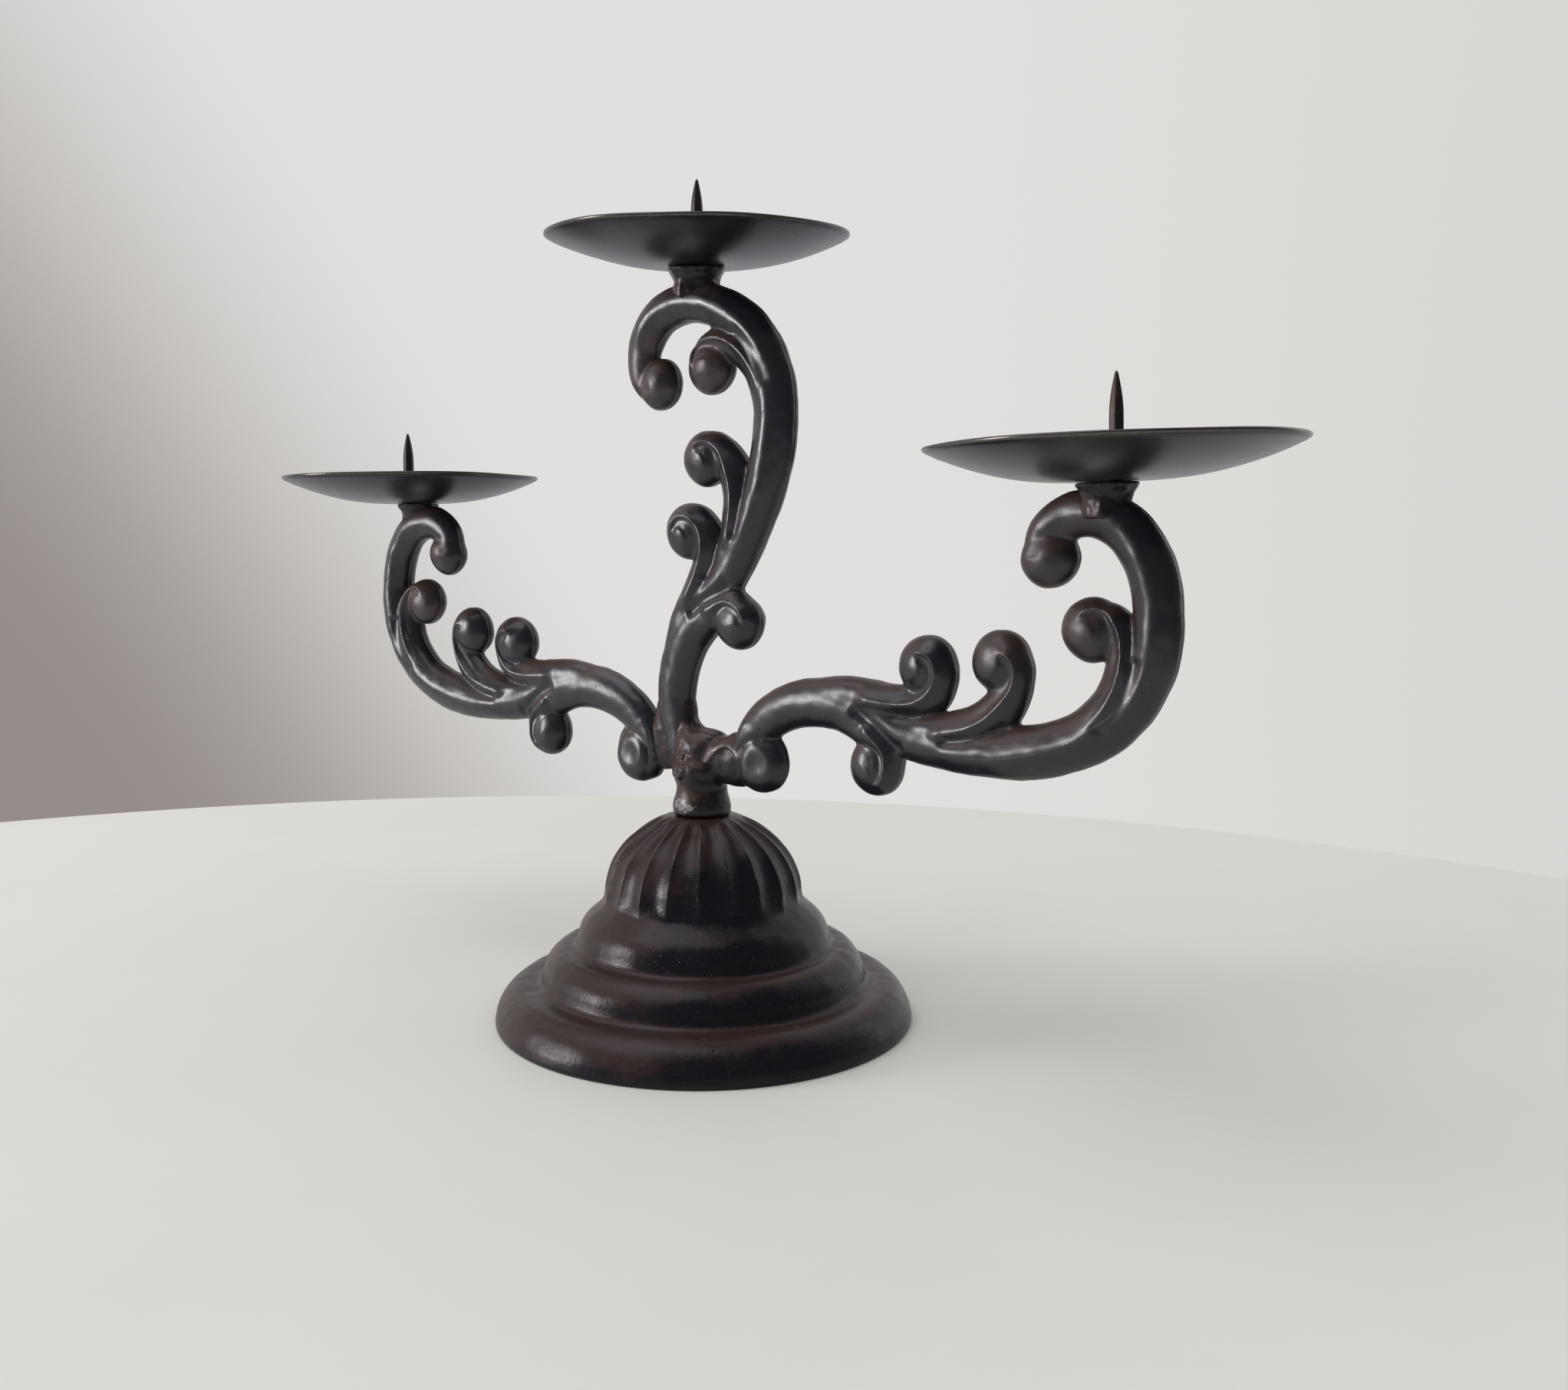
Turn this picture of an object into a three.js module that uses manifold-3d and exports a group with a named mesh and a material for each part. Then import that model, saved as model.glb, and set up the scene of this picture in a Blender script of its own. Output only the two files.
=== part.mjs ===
// Three-arm table candelabrum of painted iron: a pressed bell foot, a bolted neck, three scroll arms
// that are each welded from a front and a back pressed half, and a drip pan with a spike on each arm.
// Millimetres, +Z up. The origin is on the table under the middle of the foot. The three arms stand
// in the XZ plane: the right arm reaches along +X, the left arm along -X, the centre arm rises.

import * as THREE from 'three';
import { mergeVertices } from 'three/addons/utils/BufferGeometryUtils.js';
import Module from 'manifold-3d';

const wasm = await Module();
wasm.setup();

// Foot: a bell pressed from one sheet, with three rolled bands under a fluted dome.
const FOOT_RADIUS = 72;
const LOWER_BAND_RADIUS = 54.5;
const UPPER_BAND_RADIUS = 42.2;
const DOME_RADIUS = 34;
const SKIRT_HEIGHT = 12;
const LOWER_BAND_HEIGHT = 12.3;
const UPPER_BAND_HEIGHT = 18.7;
const DOME_RISE = 28.5;
const FOOT_WALL = 1.6;
const MITRE_LIMIT = 1.5;
const RIM_LIP = 1.5;
const FLUTE_COUNT = 20;
const FLUTE_DEPTH = 1.2;
const FLUTE_TURN = 3.7;

// Neck and the bolt that holds it down on the dome.
const NECK_FOOT_RADIUS = 9.8;
const NECK_WAIST_RADIUS = 8.6;
const NECK_TOP_RADIUS = 10.4;
const NECK_COLLAR_HEIGHT = 4.4;
const NECK_WAIST_HEIGHT = 9.8;
const NECK_HEIGHT = 16.8;
const BOLT_RADIUS = 4;
const BOLT_GRIP = 10;
const BOLT_HEAD_WIDTH = 13;
const BOLT_HEAD_HEIGHT = 5.3;
const WASHER_RADIUS = 8;
const WASHER_THICKNESS = 1.6;

// Arms: one scroll pattern used three times. ARM_WALL is the sheet that each half is pressed from.
// A turn is in degrees. The hand-made arms don't stand quite alike: the left one is set a little
// forward of the XZ plane, steeper and further out than the right one.
const ARM_WALL = 1.5;
const LEFT_ARM_AZIMUTH = 181.4;
const LEFT_ARM_TURN = 1.1;
const LEFT_ARM_SHIFT = [-2.8, -2.4];
const CENTRE_ARM_TURN = 65.4;
const CENTRE_VOLUTE_PLACE = [1.9, 93.4];
const RIGHT_WELD_BITE = 5;
const RIGHT_WELD_HEIGHT = 90;
const RIGHT_WELD_HALF_HEIGHT = 9.3;
const LEFT_WELD_BITE = 6.5;
const LEFT_WELD_CENTRE_BITE = 9.4;
const LEFT_WELD_HEIGHT = 89.4;
const LEFT_WELD_HALF_HEIGHT = 8.8;

// Drip pans, spikes and the ferrules between arm and pan. A lean is the slope, in degrees, that the
// pan's rim rises along +X and along +Y: the centre pan has been knocked a little out of level. Two
// spikes and ferrules were set off the middle of their pans, by spikeSet and ferruleSet along the
// pan's X and Y. A seat is the height of the pan's floor over its arm's crown, and an overhang the
// step from the crown out to the pan's middle: the arm is stretched to meet its pan there.
const PAN_RADIUS = 50;
const PAN_DEPTH = 10.5;
const PAN_FLAT_RADIUS = 11;
const PAN_SHEET = 1.2;
const SPIKE_RADIUS = 2.05;
const SPIKE_ABOVE_RIM = 17.2;
const SPIKE_POINT_LENGTH = 9.5;
const SPIKE_ROOT = 2;
const FERRULE_FLARE = 2;
const FERRULE_FLARE_HEIGHT = 3;
const FERRULE_STEM = 9;
const RIGHT_PAN_REACH = 147.7;
const RIGHT_RIM_HEIGHT = 189.3;
const RIGHT_PAN_SEAT = 1.9;
const RIGHT_PAN_OVERHANG = 7.1;
const RIGHT_SPIKE_SET = [1.2, 1];
const RIGHT_SPIKE_ABOVE_RIM = 18.5;
const RIGHT_FERRULE_SET = [-0.8, -0.6];
const RIGHT_FERRULE_RADIUS = 6.6;
const CENTRE_RIM_HEIGHT = 263.1;
const CENTRE_PAN_SEAT = 4.3;
const CENTRE_FERRULE_RADIUS = 7.7;
const LEFT_PAN_REACH = 151.8;
const LEFT_RIM_HEIGHT = 188.8;
const LEFT_PAN_SEAT = 1.1;
const LEFT_PAN_OVERHANG = 11.7;
const LEFT_SPIKE_SET = [-0.9, -0.8];
const LEFT_FERRULE_SET = [1.8, 1.5];
const LEFT_FERRULE_RADIUS = 6.4;
const PANS = [
  {
    side: 'right', reach: RIGHT_PAN_REACH, azimuth: 0, rim: RIGHT_RIM_HEIGHT, lean: [1.1, 0.6],
    seat: RIGHT_PAN_SEAT, overhang: RIGHT_PAN_OVERHANG,
    spikeSet: RIGHT_SPIKE_SET, spikeTop: RIGHT_SPIKE_ABOVE_RIM,
    ferruleSet: RIGHT_FERRULE_SET, neckRadius: RIGHT_FERRULE_RADIUS,
  },
  {
    side: 'centre', reach: 0, azimuth: 0, rim: CENTRE_RIM_HEIGHT, lean: [-2.6, 2.4],
    seat: CENTRE_PAN_SEAT,
    spikeSet: [0, 0], spikeTop: SPIKE_ABOVE_RIM,
    ferruleSet: [0, 0], neckRadius: CENTRE_FERRULE_RADIUS,
  },
  {
    side: 'left', reach: LEFT_PAN_REACH, azimuth: LEFT_ARM_AZIMUTH, rim: LEFT_RIM_HEIGHT,
    seat: LEFT_PAN_SEAT, overhang: LEFT_PAN_OVERHANG,
    lean: [0.4, -0.5], spikeSet: LEFT_SPIKE_SET, spikeTop: SPIKE_ABOVE_RIM,
    ferruleSet: LEFT_FERRULE_SET, neckRadius: LEFT_FERRULE_RADIUS,
  },
];

// Clearances: FIT_GAP is left where one piece is shaped to its neighbour or seats on it inside a
// leaning group, RUNNING_GAP round the bolt and the spikes.
const FIT_GAP = 0.3;
const RUNNING_GAP = 0.3;

// Heights and radii that follow from the sizes above.
const LOWER_BAND_FOOT = SKIRT_HEIGHT;
const UPPER_BAND_FOOT = LOWER_BAND_FOOT + LOWER_BAND_HEIGHT;
const DOME_FOOT = UPPER_BAND_FOOT + UPPER_BAND_HEIGHT;
const SEAT_RADIUS = NECK_FOOT_RADIUS + 0.8;
const SEAT_HEIGHT = DOME_FOOT + DOME_RISE * Math.sqrt(1 - (SEAT_RADIUS / DOME_RADIUS) ** 2);
const BOLT_HOLE_RADIUS = BOLT_RADIUS + RUNNING_GAP;

// Rolled bands: how far in and how far up each has gone, as shares of its step, from its foot to the
// groove under the band above. Each one bulges over that groove.
const SKIRT_WAVE = [
  [0, 0], [0.04, 0.24], [0.1, 0.49], [0.19, 0.76], [0.37, 1.04], [0.51, 1.15], [0.66, 1.19], [0.8, 1.13],
];
const LOWER_BAND_WAVE = [
  [0, 0], [-0.06, 0.2], [-0.05, 0.43], [0.02, 0.65], [0.25, 0.935], [0.4, 1.06], [0.56, 1.14], [0.8, 1.1],
];
const UPPER_BAND_WAVE = [
  [0, 0], [-0.085, 0.12], [-0.1, 0.25], [-0.02, 0.38], [0.11, 0.5], [0.28, 0.615], [0.49, 0.705],
  [0.89, 0.82],
];
const RAD = Math.PI / 180;

// Scroll pattern, for the right arm. Each strand is a list of [x, z, half width, half depth] along
// its middle; each volute is a ball [x, z, radius, half depth] that the strand curls round.
const STRANDS = {
  stem: [
    [23.2, 82.4, 3.1, 3.5], [20.7, 84.8, 4.3, 4.1], [21.2, 90.4, 5.1, 4.6], [22.1, 95.6, 5.9, 4.8],
    [25.0, 100.8, 6.6, 5.0], [31.3, 106.3, 7.2, 5.2], [40.2, 110.5, 7.7, 5.5], [50.4, 112.1, 8.0, 5.6],
    [60.5, 111.5, 7.9, 5.7], [70.7, 108.8, 7.6, 5.7], [80.8, 105.6, 7.4, 5.6], [90.6, 103.6, 7.4, 5.5],
    [101.1, 102.6, 7.6, 5.5], [112.2, 102.4, 7.8, 5.5], [123.2, 103.0, 8.0, 5.5], [134.3, 105.5, 8.0, 5.5],
    [144.3, 109.8, 7.9, 5.5], [153.3, 117.0, 7.6, 5.4], [160.0, 127.5, 7.2, 5.3], [162.6, 141.7, 6.9, 5.2],
    [159.7, 156.7, 6.8, 5.2], [151.2, 167.4, 6.7, 5.1], [140.6, 170.3, 6.6, 5.0], [133.0, 167.9, 6.4, 4.9],
    [128.4, 163.4, 5.5, 4.6], [127.3, 158.8, 4.3, 4.1], [130.0, 154.8, 3.1, 3.5],
  ],
  inner: [
    [117.9, 103.7, 3.1, 3.0], [128.0, 105.1, 5.2, 4.6], [137.4, 107.6, 6.5, 5.2], [145.6, 112.4, 7.1, 5.3],
    [151.3, 119.2, 7.0, 5.3], [154.2, 127.5, 6.3, 5.2], [153.5, 136.0, 5.3, 4.9], [150.1, 142.6, 4.5, 4.4],
    [145.1, 145.1, 3.6, 3.8],
  ],
  outer: [
    [75.7, 108.7, 3.1, 3.0], [85.7, 107.2, 4.7, 4.6], [95.5, 106.5, 5.8, 5.2], [104.1, 107.9, 6.4, 5.3],
    [111.6, 111.2, 6.6, 5.3], [117.2, 116.2, 6.4, 5.2], [120.6, 122.9, 5.4, 4.9], [120.9, 129.7, 4.5, 4.4],
    [117.7, 134.4, 3.7, 3.8],
  ],
  upper: [
    [37.1, 109.4, 3.2, 3.0], [47.2, 113.0, 5.8, 4.7], [58.1, 114.8, 6.6, 5.2], [69.1, 114.8, 6.3, 5.2],
    [79.1, 114.2, 6.0, 5.1], [88.0, 114.7, 5.9, 5.0], [94.0, 118.1, 5.6, 4.9], [96.7, 123.9, 4.7, 4.5],
    [95.1, 129.6, 4.0, 4.1], [90.6, 131.2, 3.3, 3.6],
  ],
  lower: [
    [45.4, 111.5, 3.2, 3.0], [54.7, 110.7, 5.6, 4.7], [63.9, 108.4, 6.2, 5.2], [72.0, 104.4, 6.1, 5.2],
    [77.5, 99.1, 5.4, 4.9], [77.2, 92.0, 4.5, 4.4], [71.0, 86.9, 3.7, 3.8],
  ],
};
const VOLUTES = {
  root: [27.2, 90.4, 10.0, 6.5],
  lower: [72.9, 94.0, 9.4, 6.4],
  upper: [91.1, 125.8, 9.7, 6.5],
  outer: [116.1, 128.6, 9.3, 6.4],
  inner: [144.0, 138.8, 9.1, 6.3],
  tip: [130.7, 158.4, 8.7, 6.1],
};
const STEM_STATIONS = 30;
const BRANCH_STATIONS = 10;

/** Makes a manifold solid of a closed BufferGeometry. */
function toSolid(geometry) {
  const plain = new THREE.BufferGeometry();
  plain.setAttribute('position', geometry.getAttribute('position'));
  if (geometry.index) plain.setIndex(geometry.index);
  const merged = mergeVertices(plain, 1e-4);
  const corners = merged.index.array;
  const kept = [];
  for (let i = 0; i < corners.length; i += 3) {
    const [a, b, c] = [corners[i], corners[i + 1], corners[i + 2]];
    if (a !== b && b !== c && c !== a) kept.push(a, b, c);
  }
  const mesh = new wasm.Mesh({
    numProp: 3,
    vertProperties: Float32Array.from(merged.getAttribute('position').array),
    triVerts: Uint32Array.from(kept),
  });
  return new wasm.Manifold(mesh);
}

/** Gives a manifold solid back as a BufferGeometry. */
function toGeometry(solid) {
  const mesh = solid.getMesh();
  const geometry = new THREE.BufferGeometry();
  geometry.setAttribute('position', new THREE.BufferAttribute(Float32Array.from(mesh.vertProperties), 3));
  geometry.setIndex(Array.from(mesh.triVerts));
  return geometry;
}

/** Turned solid about +Z from a closed profile of [radius, height] points. */
function turned(profile, segments) {
  const points = profile.map(([r, z]) => new THREE.Vector2(r, z));
  return new THREE.LatheGeometry(points, segments).rotateX(Math.PI / 2);
}

/** Profile of a band from [radius, height] at its foot to the foot of the next band. */
function bandProfile(wave, [footRadius, footHeight], [topRadius, topHeight]) {
  return wave.map(([inwards, upwards]) => [
    footRadius + (topRadius - footRadius) * inwards,
    footHeight + (topHeight - footHeight) * upwards,
  ]);
}

/** Profile moved inwards by a wall, square to its run from the foot upwards, mitred at its bends. */
function inset(profile, wall) {
  const last = profile.length - 1;
  const along = (from, to) => new THREE.Vector2(to[0] - from[0], to[1] - from[1]).normalize();
  return profile.map(([r, z], i) => {
    const arriving = along(profile[Math.max(i - 1, 0)], profile[Math.max(i, 1)]);
    const leaving = along(profile[Math.min(i, last - 1)], profile[Math.min(i + 1, last)]);
    const run = arriving.add(leaving).multiplyScalar(0.5);
    const reach = wall / (run.length() * Math.max(run.length(), 1 / MITRE_LIMIT));
    return [r - run.y * reach, z + run.x * reach];
  });
}

/** Quarter-ellipse points of the dome from its foot to the flat seat of the neck. */
function domeProfile(radius, rise, steps) {
  const last = Math.acos(SEAT_RADIUS / radius);
  return Array.from({ length: steps + 1 }, (_, i) => {
    const angle = last * i / steps;
    return [radius * Math.cos(angle), DOME_FOOT + rise * Math.sin(angle)];
  });
}

/** Presses the flutes into a turned bell: arrises stay, the valleys between them sink. */
function pressFlutes(geometry) {
  const place = geometry.getAttribute('position');
  for (let i = 0; i < place.count; i++) {
    const [x, y, z] = [place.getX(i), place.getY(i), place.getZ(i)];
    const radius = Math.hypot(x, y);
    const climb = (z - DOME_FOOT) / DOME_RISE;
    if (climb <= 0 || radius <= SEAT_RADIUS + 0.01) continue;
    const valley = Math.abs(Math.sin(Math.atan2(y, x) * FLUTE_COUNT / 2));
    const fade = THREE.MathUtils.smoothstep(climb, 0, 0.12)
      * THREE.MathUtils.smoothstep(radius, SEAT_RADIUS, SEAT_RADIUS + DOME_RADIUS / 4);
    const outwards = new THREE.Vector2(radius / DOME_RADIUS ** 2, climb / DOME_RISE).normalize();
    const sink = FLUTE_DEPTH * valley * fade;
    const newRadius = radius - sink * outwards.x;
    place.setXYZ(i, x * newRadius / radius, y * newRadius / radius, z - sink * outwards.y);
  }
  return geometry.rotateZ(FLUTE_TURN * RAD);
}

/** Bell foot: one pressed sheet, open below, with the bolt hole in the middle of its seat. */
function footBell() {
  const skirt = [FOOT_RADIUS, RIM_LIP];
  const lower = [LOWER_BAND_RADIUS, LOWER_BAND_FOOT];
  const upper = [UPPER_BAND_RADIUS, UPPER_BAND_FOOT];
  const dome = [DOME_RADIUS, DOME_FOOT];
  const bands = [
    ...bandProfile(SKIRT_WAVE, skirt, lower),
    ...bandProfile(LOWER_BAND_WAVE, lower, upper),
    ...bandProfile(UPPER_BAND_WAVE, upper, dome),
  ];
  const outside = [[FOOT_RADIUS, 0], ...bands, ...domeProfile(DOME_RADIUS, DOME_RISE, 7)];
  const inside = [
    [FOOT_RADIUS - FOOT_WALL, 0],
    ...inset([...bands, dome], FOOT_WALL).filter((_, i) => i > 0 && (i % 2 === 0 || i === bands.length - 1)),
    ...domeProfile(DOME_RADIUS - FOOT_WALL, DOME_RISE - FOOT_WALL, 4),
  ];
  inside[inside.length - 1][1] = SEAT_HEIGHT - FOOT_WALL;
  const profile = [
    ...outside,
    [BOLT_HOLE_RADIUS, SEAT_HEIGHT], [BOLT_HOLE_RADIUS, SEAT_HEIGHT - FOOT_WALL],
    ...inside.reverse(),
    [FOOT_RADIUS, 0],
  ];
  return pressFlutes(turned(profile, FLUTE_COUNT * 2));
}

/** Washer under the dome's seat. */
function washer() {
  const top = SEAT_HEIGHT - FOOT_WALL;
  const bottom = top - WASHER_THICKNESS;
  const ring = [
    [BOLT_HOLE_RADIUS, bottom], [WASHER_RADIUS, bottom], [WASHER_RADIUS, top],
    [BOLT_HOLE_RADIUS, top], [BOLT_HOLE_RADIUS, bottom],
  ];
  return turned(ring, 24);
}

/** Hexagon bolt: its head under the washer, its shank up through the seat into the neck. */
function bolt() {
  const seat = SEAT_HEIGHT - FOOT_WALL - WASHER_THICKNESS;
  const head = new THREE.CylinderGeometry(BOLT_HEAD_WIDTH / Math.sqrt(3), BOLT_HEAD_WIDTH / Math.sqrt(3),
    BOLT_HEAD_HEIGHT, 6).rotateX(Math.PI / 2).translate(0, 0, seat - BOLT_HEAD_HEIGHT / 2);
  const tip = SEAT_HEIGHT + BOLT_GRIP;
  const shank = turned([
    [0, seat - BOLT_HEAD_HEIGHT / 2], [BOLT_RADIUS, seat - BOLT_HEAD_HEIGHT / 2],
    [BOLT_RADIUS, tip - 1], [BOLT_RADIUS - 1, tip], [0, tip],
  ], 16);
  return toGeometry(toSolid(head).add(toSolid(shank)));
}

/** Waisted neck with a blind threaded hole, its top shaped to the root volute of the centre arm. */
function neck(centreArm) {
  const level = (height) => SEAT_HEIGHT + height;
  const outside = new THREE.SplineCurve([
    new THREE.Vector2(NECK_FOOT_RADIUS, level(NECK_COLLAR_HEIGHT)),
    new THREE.Vector2(NECK_WAIST_RADIUS, level(NECK_WAIST_HEIGHT)),
    new THREE.Vector2(NECK_TOP_RADIUS, level(NECK_HEIGHT)),
  ]).getPoints(6).map(({ x, y }) => [x, y]);
  const holeTop = level(BOLT_GRIP + 1);
  const profile = [
    [0, holeTop], [BOLT_HOLE_RADIUS, holeTop], [BOLT_HOLE_RADIUS, level(0)], [NECK_FOOT_RADIUS, level(0)],
    ...outside, [0, level(NECK_HEIGHT)],
  ];
  return toSolid(turned(profile, 24)).subtract(centreArm);
}

/** A row of the scroll pattern, moved by its share of the stretch: none at the root, all at the crown. */
function stretched([x, z, ...section], [outward, upward]) {
  const share = THREE.MathUtils.smoothstep(x, VOLUTES.root[0] + VOLUTES.root[2], VOLUTES.inner[0]);
  return [x + outward * share, z + upward * share, ...section];
}

/** Points of a strand, spread evenly along a smooth curve through its list. */
function strandStations(list, count) {
  const middle = new THREE.CatmullRomCurve3(list.map(([x, z]) => new THREE.Vector3(x, 0, z)));
  const section = new THREE.CatmullRomCurve3(list.map(([, , w, d], i) => new THREE.Vector3(w, d, i)));
  return Array.from({ length: count }, (_, i) => {
    const share = middle.getUtoTmapping(i / (count - 1));
    const [point, size] = [middle.getPoint(share), section.getPoint(share)];
    return { point, along: middle.getTangent(share), width: size.x, depth: size.y };
  });
}

/** Tapered tube of oval section along the stations, closed by a point at each end. */
function strandTube(stations, sides, grow) {
  const positions = [];
  for (const { point, along, width, depth } of stations) {
    const across = new THREE.Vector3(along.z, 0, -along.x).normalize();
    for (let side = 0; side < sides; side++) {
      const angle = 2 * Math.PI * side / sides;
      const reach = (width + grow) * Math.cos(angle);
      const y = (depth + grow) * Math.sin(angle);
      positions.push(point.x + across.x * reach, Math.abs(y) < 1e-9 ? 0 : y, point.z + across.z * reach);
    }
  }
  const [first, last] = [stations[0], stations[stations.length - 1]];
  const nose = (station, way) => station.point.clone()
    .addScaledVector(station.along, way * (station.width + grow) * 0.6);
  positions.push(...nose(first, -1).toArray(), ...nose(last, 1).toArray());
  const faces = [];
  const ring = (i, side) => i * sides + side % sides;
  for (let i = 0; i + 1 < stations.length; i++) {
    for (let side = 0; side < sides; side++) {
      faces.push(ring(i, side), ring(i, side + 1), ring(i + 1, side + 1));
      faces.push(ring(i, side), ring(i + 1, side + 1), ring(i + 1, side));
    }
  }
  const [foot, tip] = [stations.length * sides, stations.length * sides + 1];
  for (let side = 0; side < sides; side++) {
    faces.push(foot, ring(0, side + 1), ring(0, side));
    faces.push(tip, ring(stations.length - 1, side), ring(stations.length - 1, side + 1));
  }
  const geometry = new THREE.BufferGeometry();
  geometry.setAttribute('position', new THREE.BufferAttribute(Float32Array.from(positions), 3));
  geometry.setIndex(faces);
  return geometry;
}

/** Whole arm as one solid, grown all over by an offset, after its stretch. */
function armSolid(grow, stretch) {
  const pieces = Object.entries(STRANDS).map(([name, rows]) => {
    const count = name === 'stem' ? STEM_STATIONS : BRANCH_STATIONS;
    const list = rows.map((row) => stretched(row, stretch));
    return toSolid(strandTube(strandStations(list, count), 8, grow));
  });
  for (const volute of Object.values(VOLUTES)) {
    const [x, z, radius, depth] = stretched(volute, stretch);
    const ball = new THREE.SphereGeometry(1, 12, 6);
    ball.scale(radius + grow, depth + grow, radius + grow).translate(x, 0, z);
    pieces.push(toSolid(ball));
  }
  return pieces.reduce((whole, piece) => whole.add(piece));
}

/** Channel that the pressing leaves along the stem; the branches and volutes are pressed solid. */
function armChannel(stretch) {
  const list = STRANDS.stem.map((row) => stretched(row, stretch));
  const stem = strandStations(list, STEM_STATIONS * 2).slice(STEM_STATIONS / 3, -STEM_STATIONS / 3);
  return toSolid(strandTube(stem.filter((_, i) => i % 3 === 0), 6, -ARM_WALL));
}

/** Half of the arm's hollow shell, on the side that way points to along Y. */
function armHalf(way, stretch) {
  const box = new THREE.BoxGeometry(600, 60, 600).translate(0, way * 30, 0);
  return toGeometry(armSolid(0, stretch).subtract(armChannel(stretch)).intersect(toSolid(box)));
}

/** Where each arm stands: the right one as drawn, the left one turned about, the centre one upright. */
function armPlacements() {
  const [rootX, rootZ] = VOLUTES.root;
  const upright = new THREE.Matrix4().makeTranslation(CENTRE_VOLUTE_PLACE[0], 0, CENTRE_VOLUTE_PLACE[1])
    .multiply(new THREE.Matrix4().makeRotationY(-CENTRE_ARM_TURN * RAD))
    .multiply(new THREE.Matrix4().makeTranslation(-rootX, 0, -rootZ));
  const turnedAbout = new THREE.Matrix4().makeTranslation(LEFT_ARM_SHIFT[0], 0, LEFT_ARM_SHIFT[1])
    .multiply(new THREE.Matrix4().makeRotationZ(LEFT_ARM_AZIMUTH * RAD))
    .multiply(new THREE.Matrix4().makeRotationY(-LEFT_ARM_TURN * RAD));
  return { right: new THREE.Matrix4(), centre: upright, left: turnedAbout };
}

/** Weld saddle between two root volutes: a waisted bar along X, shaped to what it joins. */
function weldSaddle(fromX, toX, height, halfHeight, neighbours) {
  const [length, middle] = [toX - fromX, (fromX + toX) / 2];
  const bar = turned([
    [0, -length / 2], [0.95, -length / 2], [0.92, -length / 4], [0.9, 0], [0.92, length / 4],
    [0.95, length / 2], [0, length / 2],
  ], 16).scale(halfHeight, halfHeight * 0.74, 1).rotateY(Math.PI / 2).translate(middle, 0, height);
  return neighbours.reduce((solid, other) => solid.subtract(other), toSolid(bar));
}

/** A length to a tenth of a millimetre, as the places of the pans were measured. */
function toTenth(length) {
  return Math.round(length * 10) / 10;
}

/** Stretch [outward, upward] of the pattern that brings an arm's crown to the seat of its pan. */
function armStretch({ reach, azimuth, rim, seat, overhang }, placement) {
  const tops = STRANDS.stem.map(([x, z, halfWidth]) => {
    const middle = new THREE.Vector3(x, 0, z).applyMatrix4(placement);
    return { out: Math.hypot(middle.x, middle.y), height: middle.z + halfWidth };
  });
  const crown = tops.reduce((best, top) => (top.height > best.height ? top : best));
  const outward = overhang === undefined ? 0 : toTenth(reach - overhang - crown.out);
  const upward = toTenth(rim - PAN_DEPTH - seat - crown.height);
  const way = new THREE.Vector3(outward * Math.cos(azimuth * RAD), outward * Math.sin(azimuth * RAD), upward);
  way.applyQuaternion(new THREE.Quaternion().setFromRotationMatrix(placement).invert());
  return [way.x, way.z];
}

/** Matrix of a pan: its rim's middle, leaning by its two slopes. */
function panPlacement({ reach, azimuth, rim, lean }) {
  const middle = new THREE.Vector3(reach * Math.cos(azimuth * RAD), reach * Math.sin(azimuth * RAD), rim);
  const normal = new THREE.Vector3(-Math.tan(lean[0] * RAD), -Math.tan(lean[1] * RAD), 1).normalize();
  const turn = new THREE.Quaternion().setFromUnitVectors(new THREE.Vector3(0, 0, 1), normal);
  return new THREE.Matrix4().compose(middle, turn, new THREE.Vector3(1, 1, 1));
}

/** Solid of the hole that a spike needs, through pan and ferrule. */
function spikeHole([x, y]) {
  const radius = SPIKE_RADIUS + RUNNING_GAP;
  const hole = new THREE.CylinderGeometry(radius, radius, 60, 12).rotateX(Math.PI / 2);
  return toSolid(hole.translate(x, y, -PAN_DEPTH));
}

/** Drip pan about its rim's middle: a flat floor with the spike's hole, and a dished wall. */
function dripPan({ spikeSet }) {
  const dish = (sheet) => Array.from({ length: 5 }, (_, i) => {
    const share = i / 4;
    const r = PAN_FLAT_RADIUS + (PAN_RADIUS - sheet / 3 - PAN_FLAT_RADIUS) * share;
    return [r, -PAN_DEPTH + sheet + (PAN_DEPTH - sheet) * share ** 2];
  });
  const below = dish(0);
  below[below.length - 1][1] -= PAN_SHEET * 0.7;
  const profile = [
    [0, -PAN_DEPTH], ...below, [PAN_RADIUS, -PAN_SHEET * 0.2],
    ...dish(PAN_SHEET).reverse(), [0, -PAN_DEPTH + PAN_SHEET],
  ];
  return toGeometry(toSolid(turned(profile, 32)).subtract(spikeHole(spikeSet)));
}

/** Spike about the pan's rim middle: a rod that ends in a forged point, rooted in the ferrule. */
function spike({ spikeSet, spikeTop }) {
  const tip = spikeTop;
  const taper = [[0.3, 0.05], [0.55, 0.25], [0.82, 0.55], [0.97, 0.85], [1, 1]]
    .map(([wide, down]) => [SPIKE_RADIUS * wide, tip - SPIKE_POINT_LENGTH * down]).reverse();
  const root = -PAN_DEPTH - SPIKE_ROOT;
  return turned([[0, root], [SPIKE_RADIUS, root], ...taper, [0, tip]], 10)
    .translate(spikeSet[0], spikeSet[1], 0);
}

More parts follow.
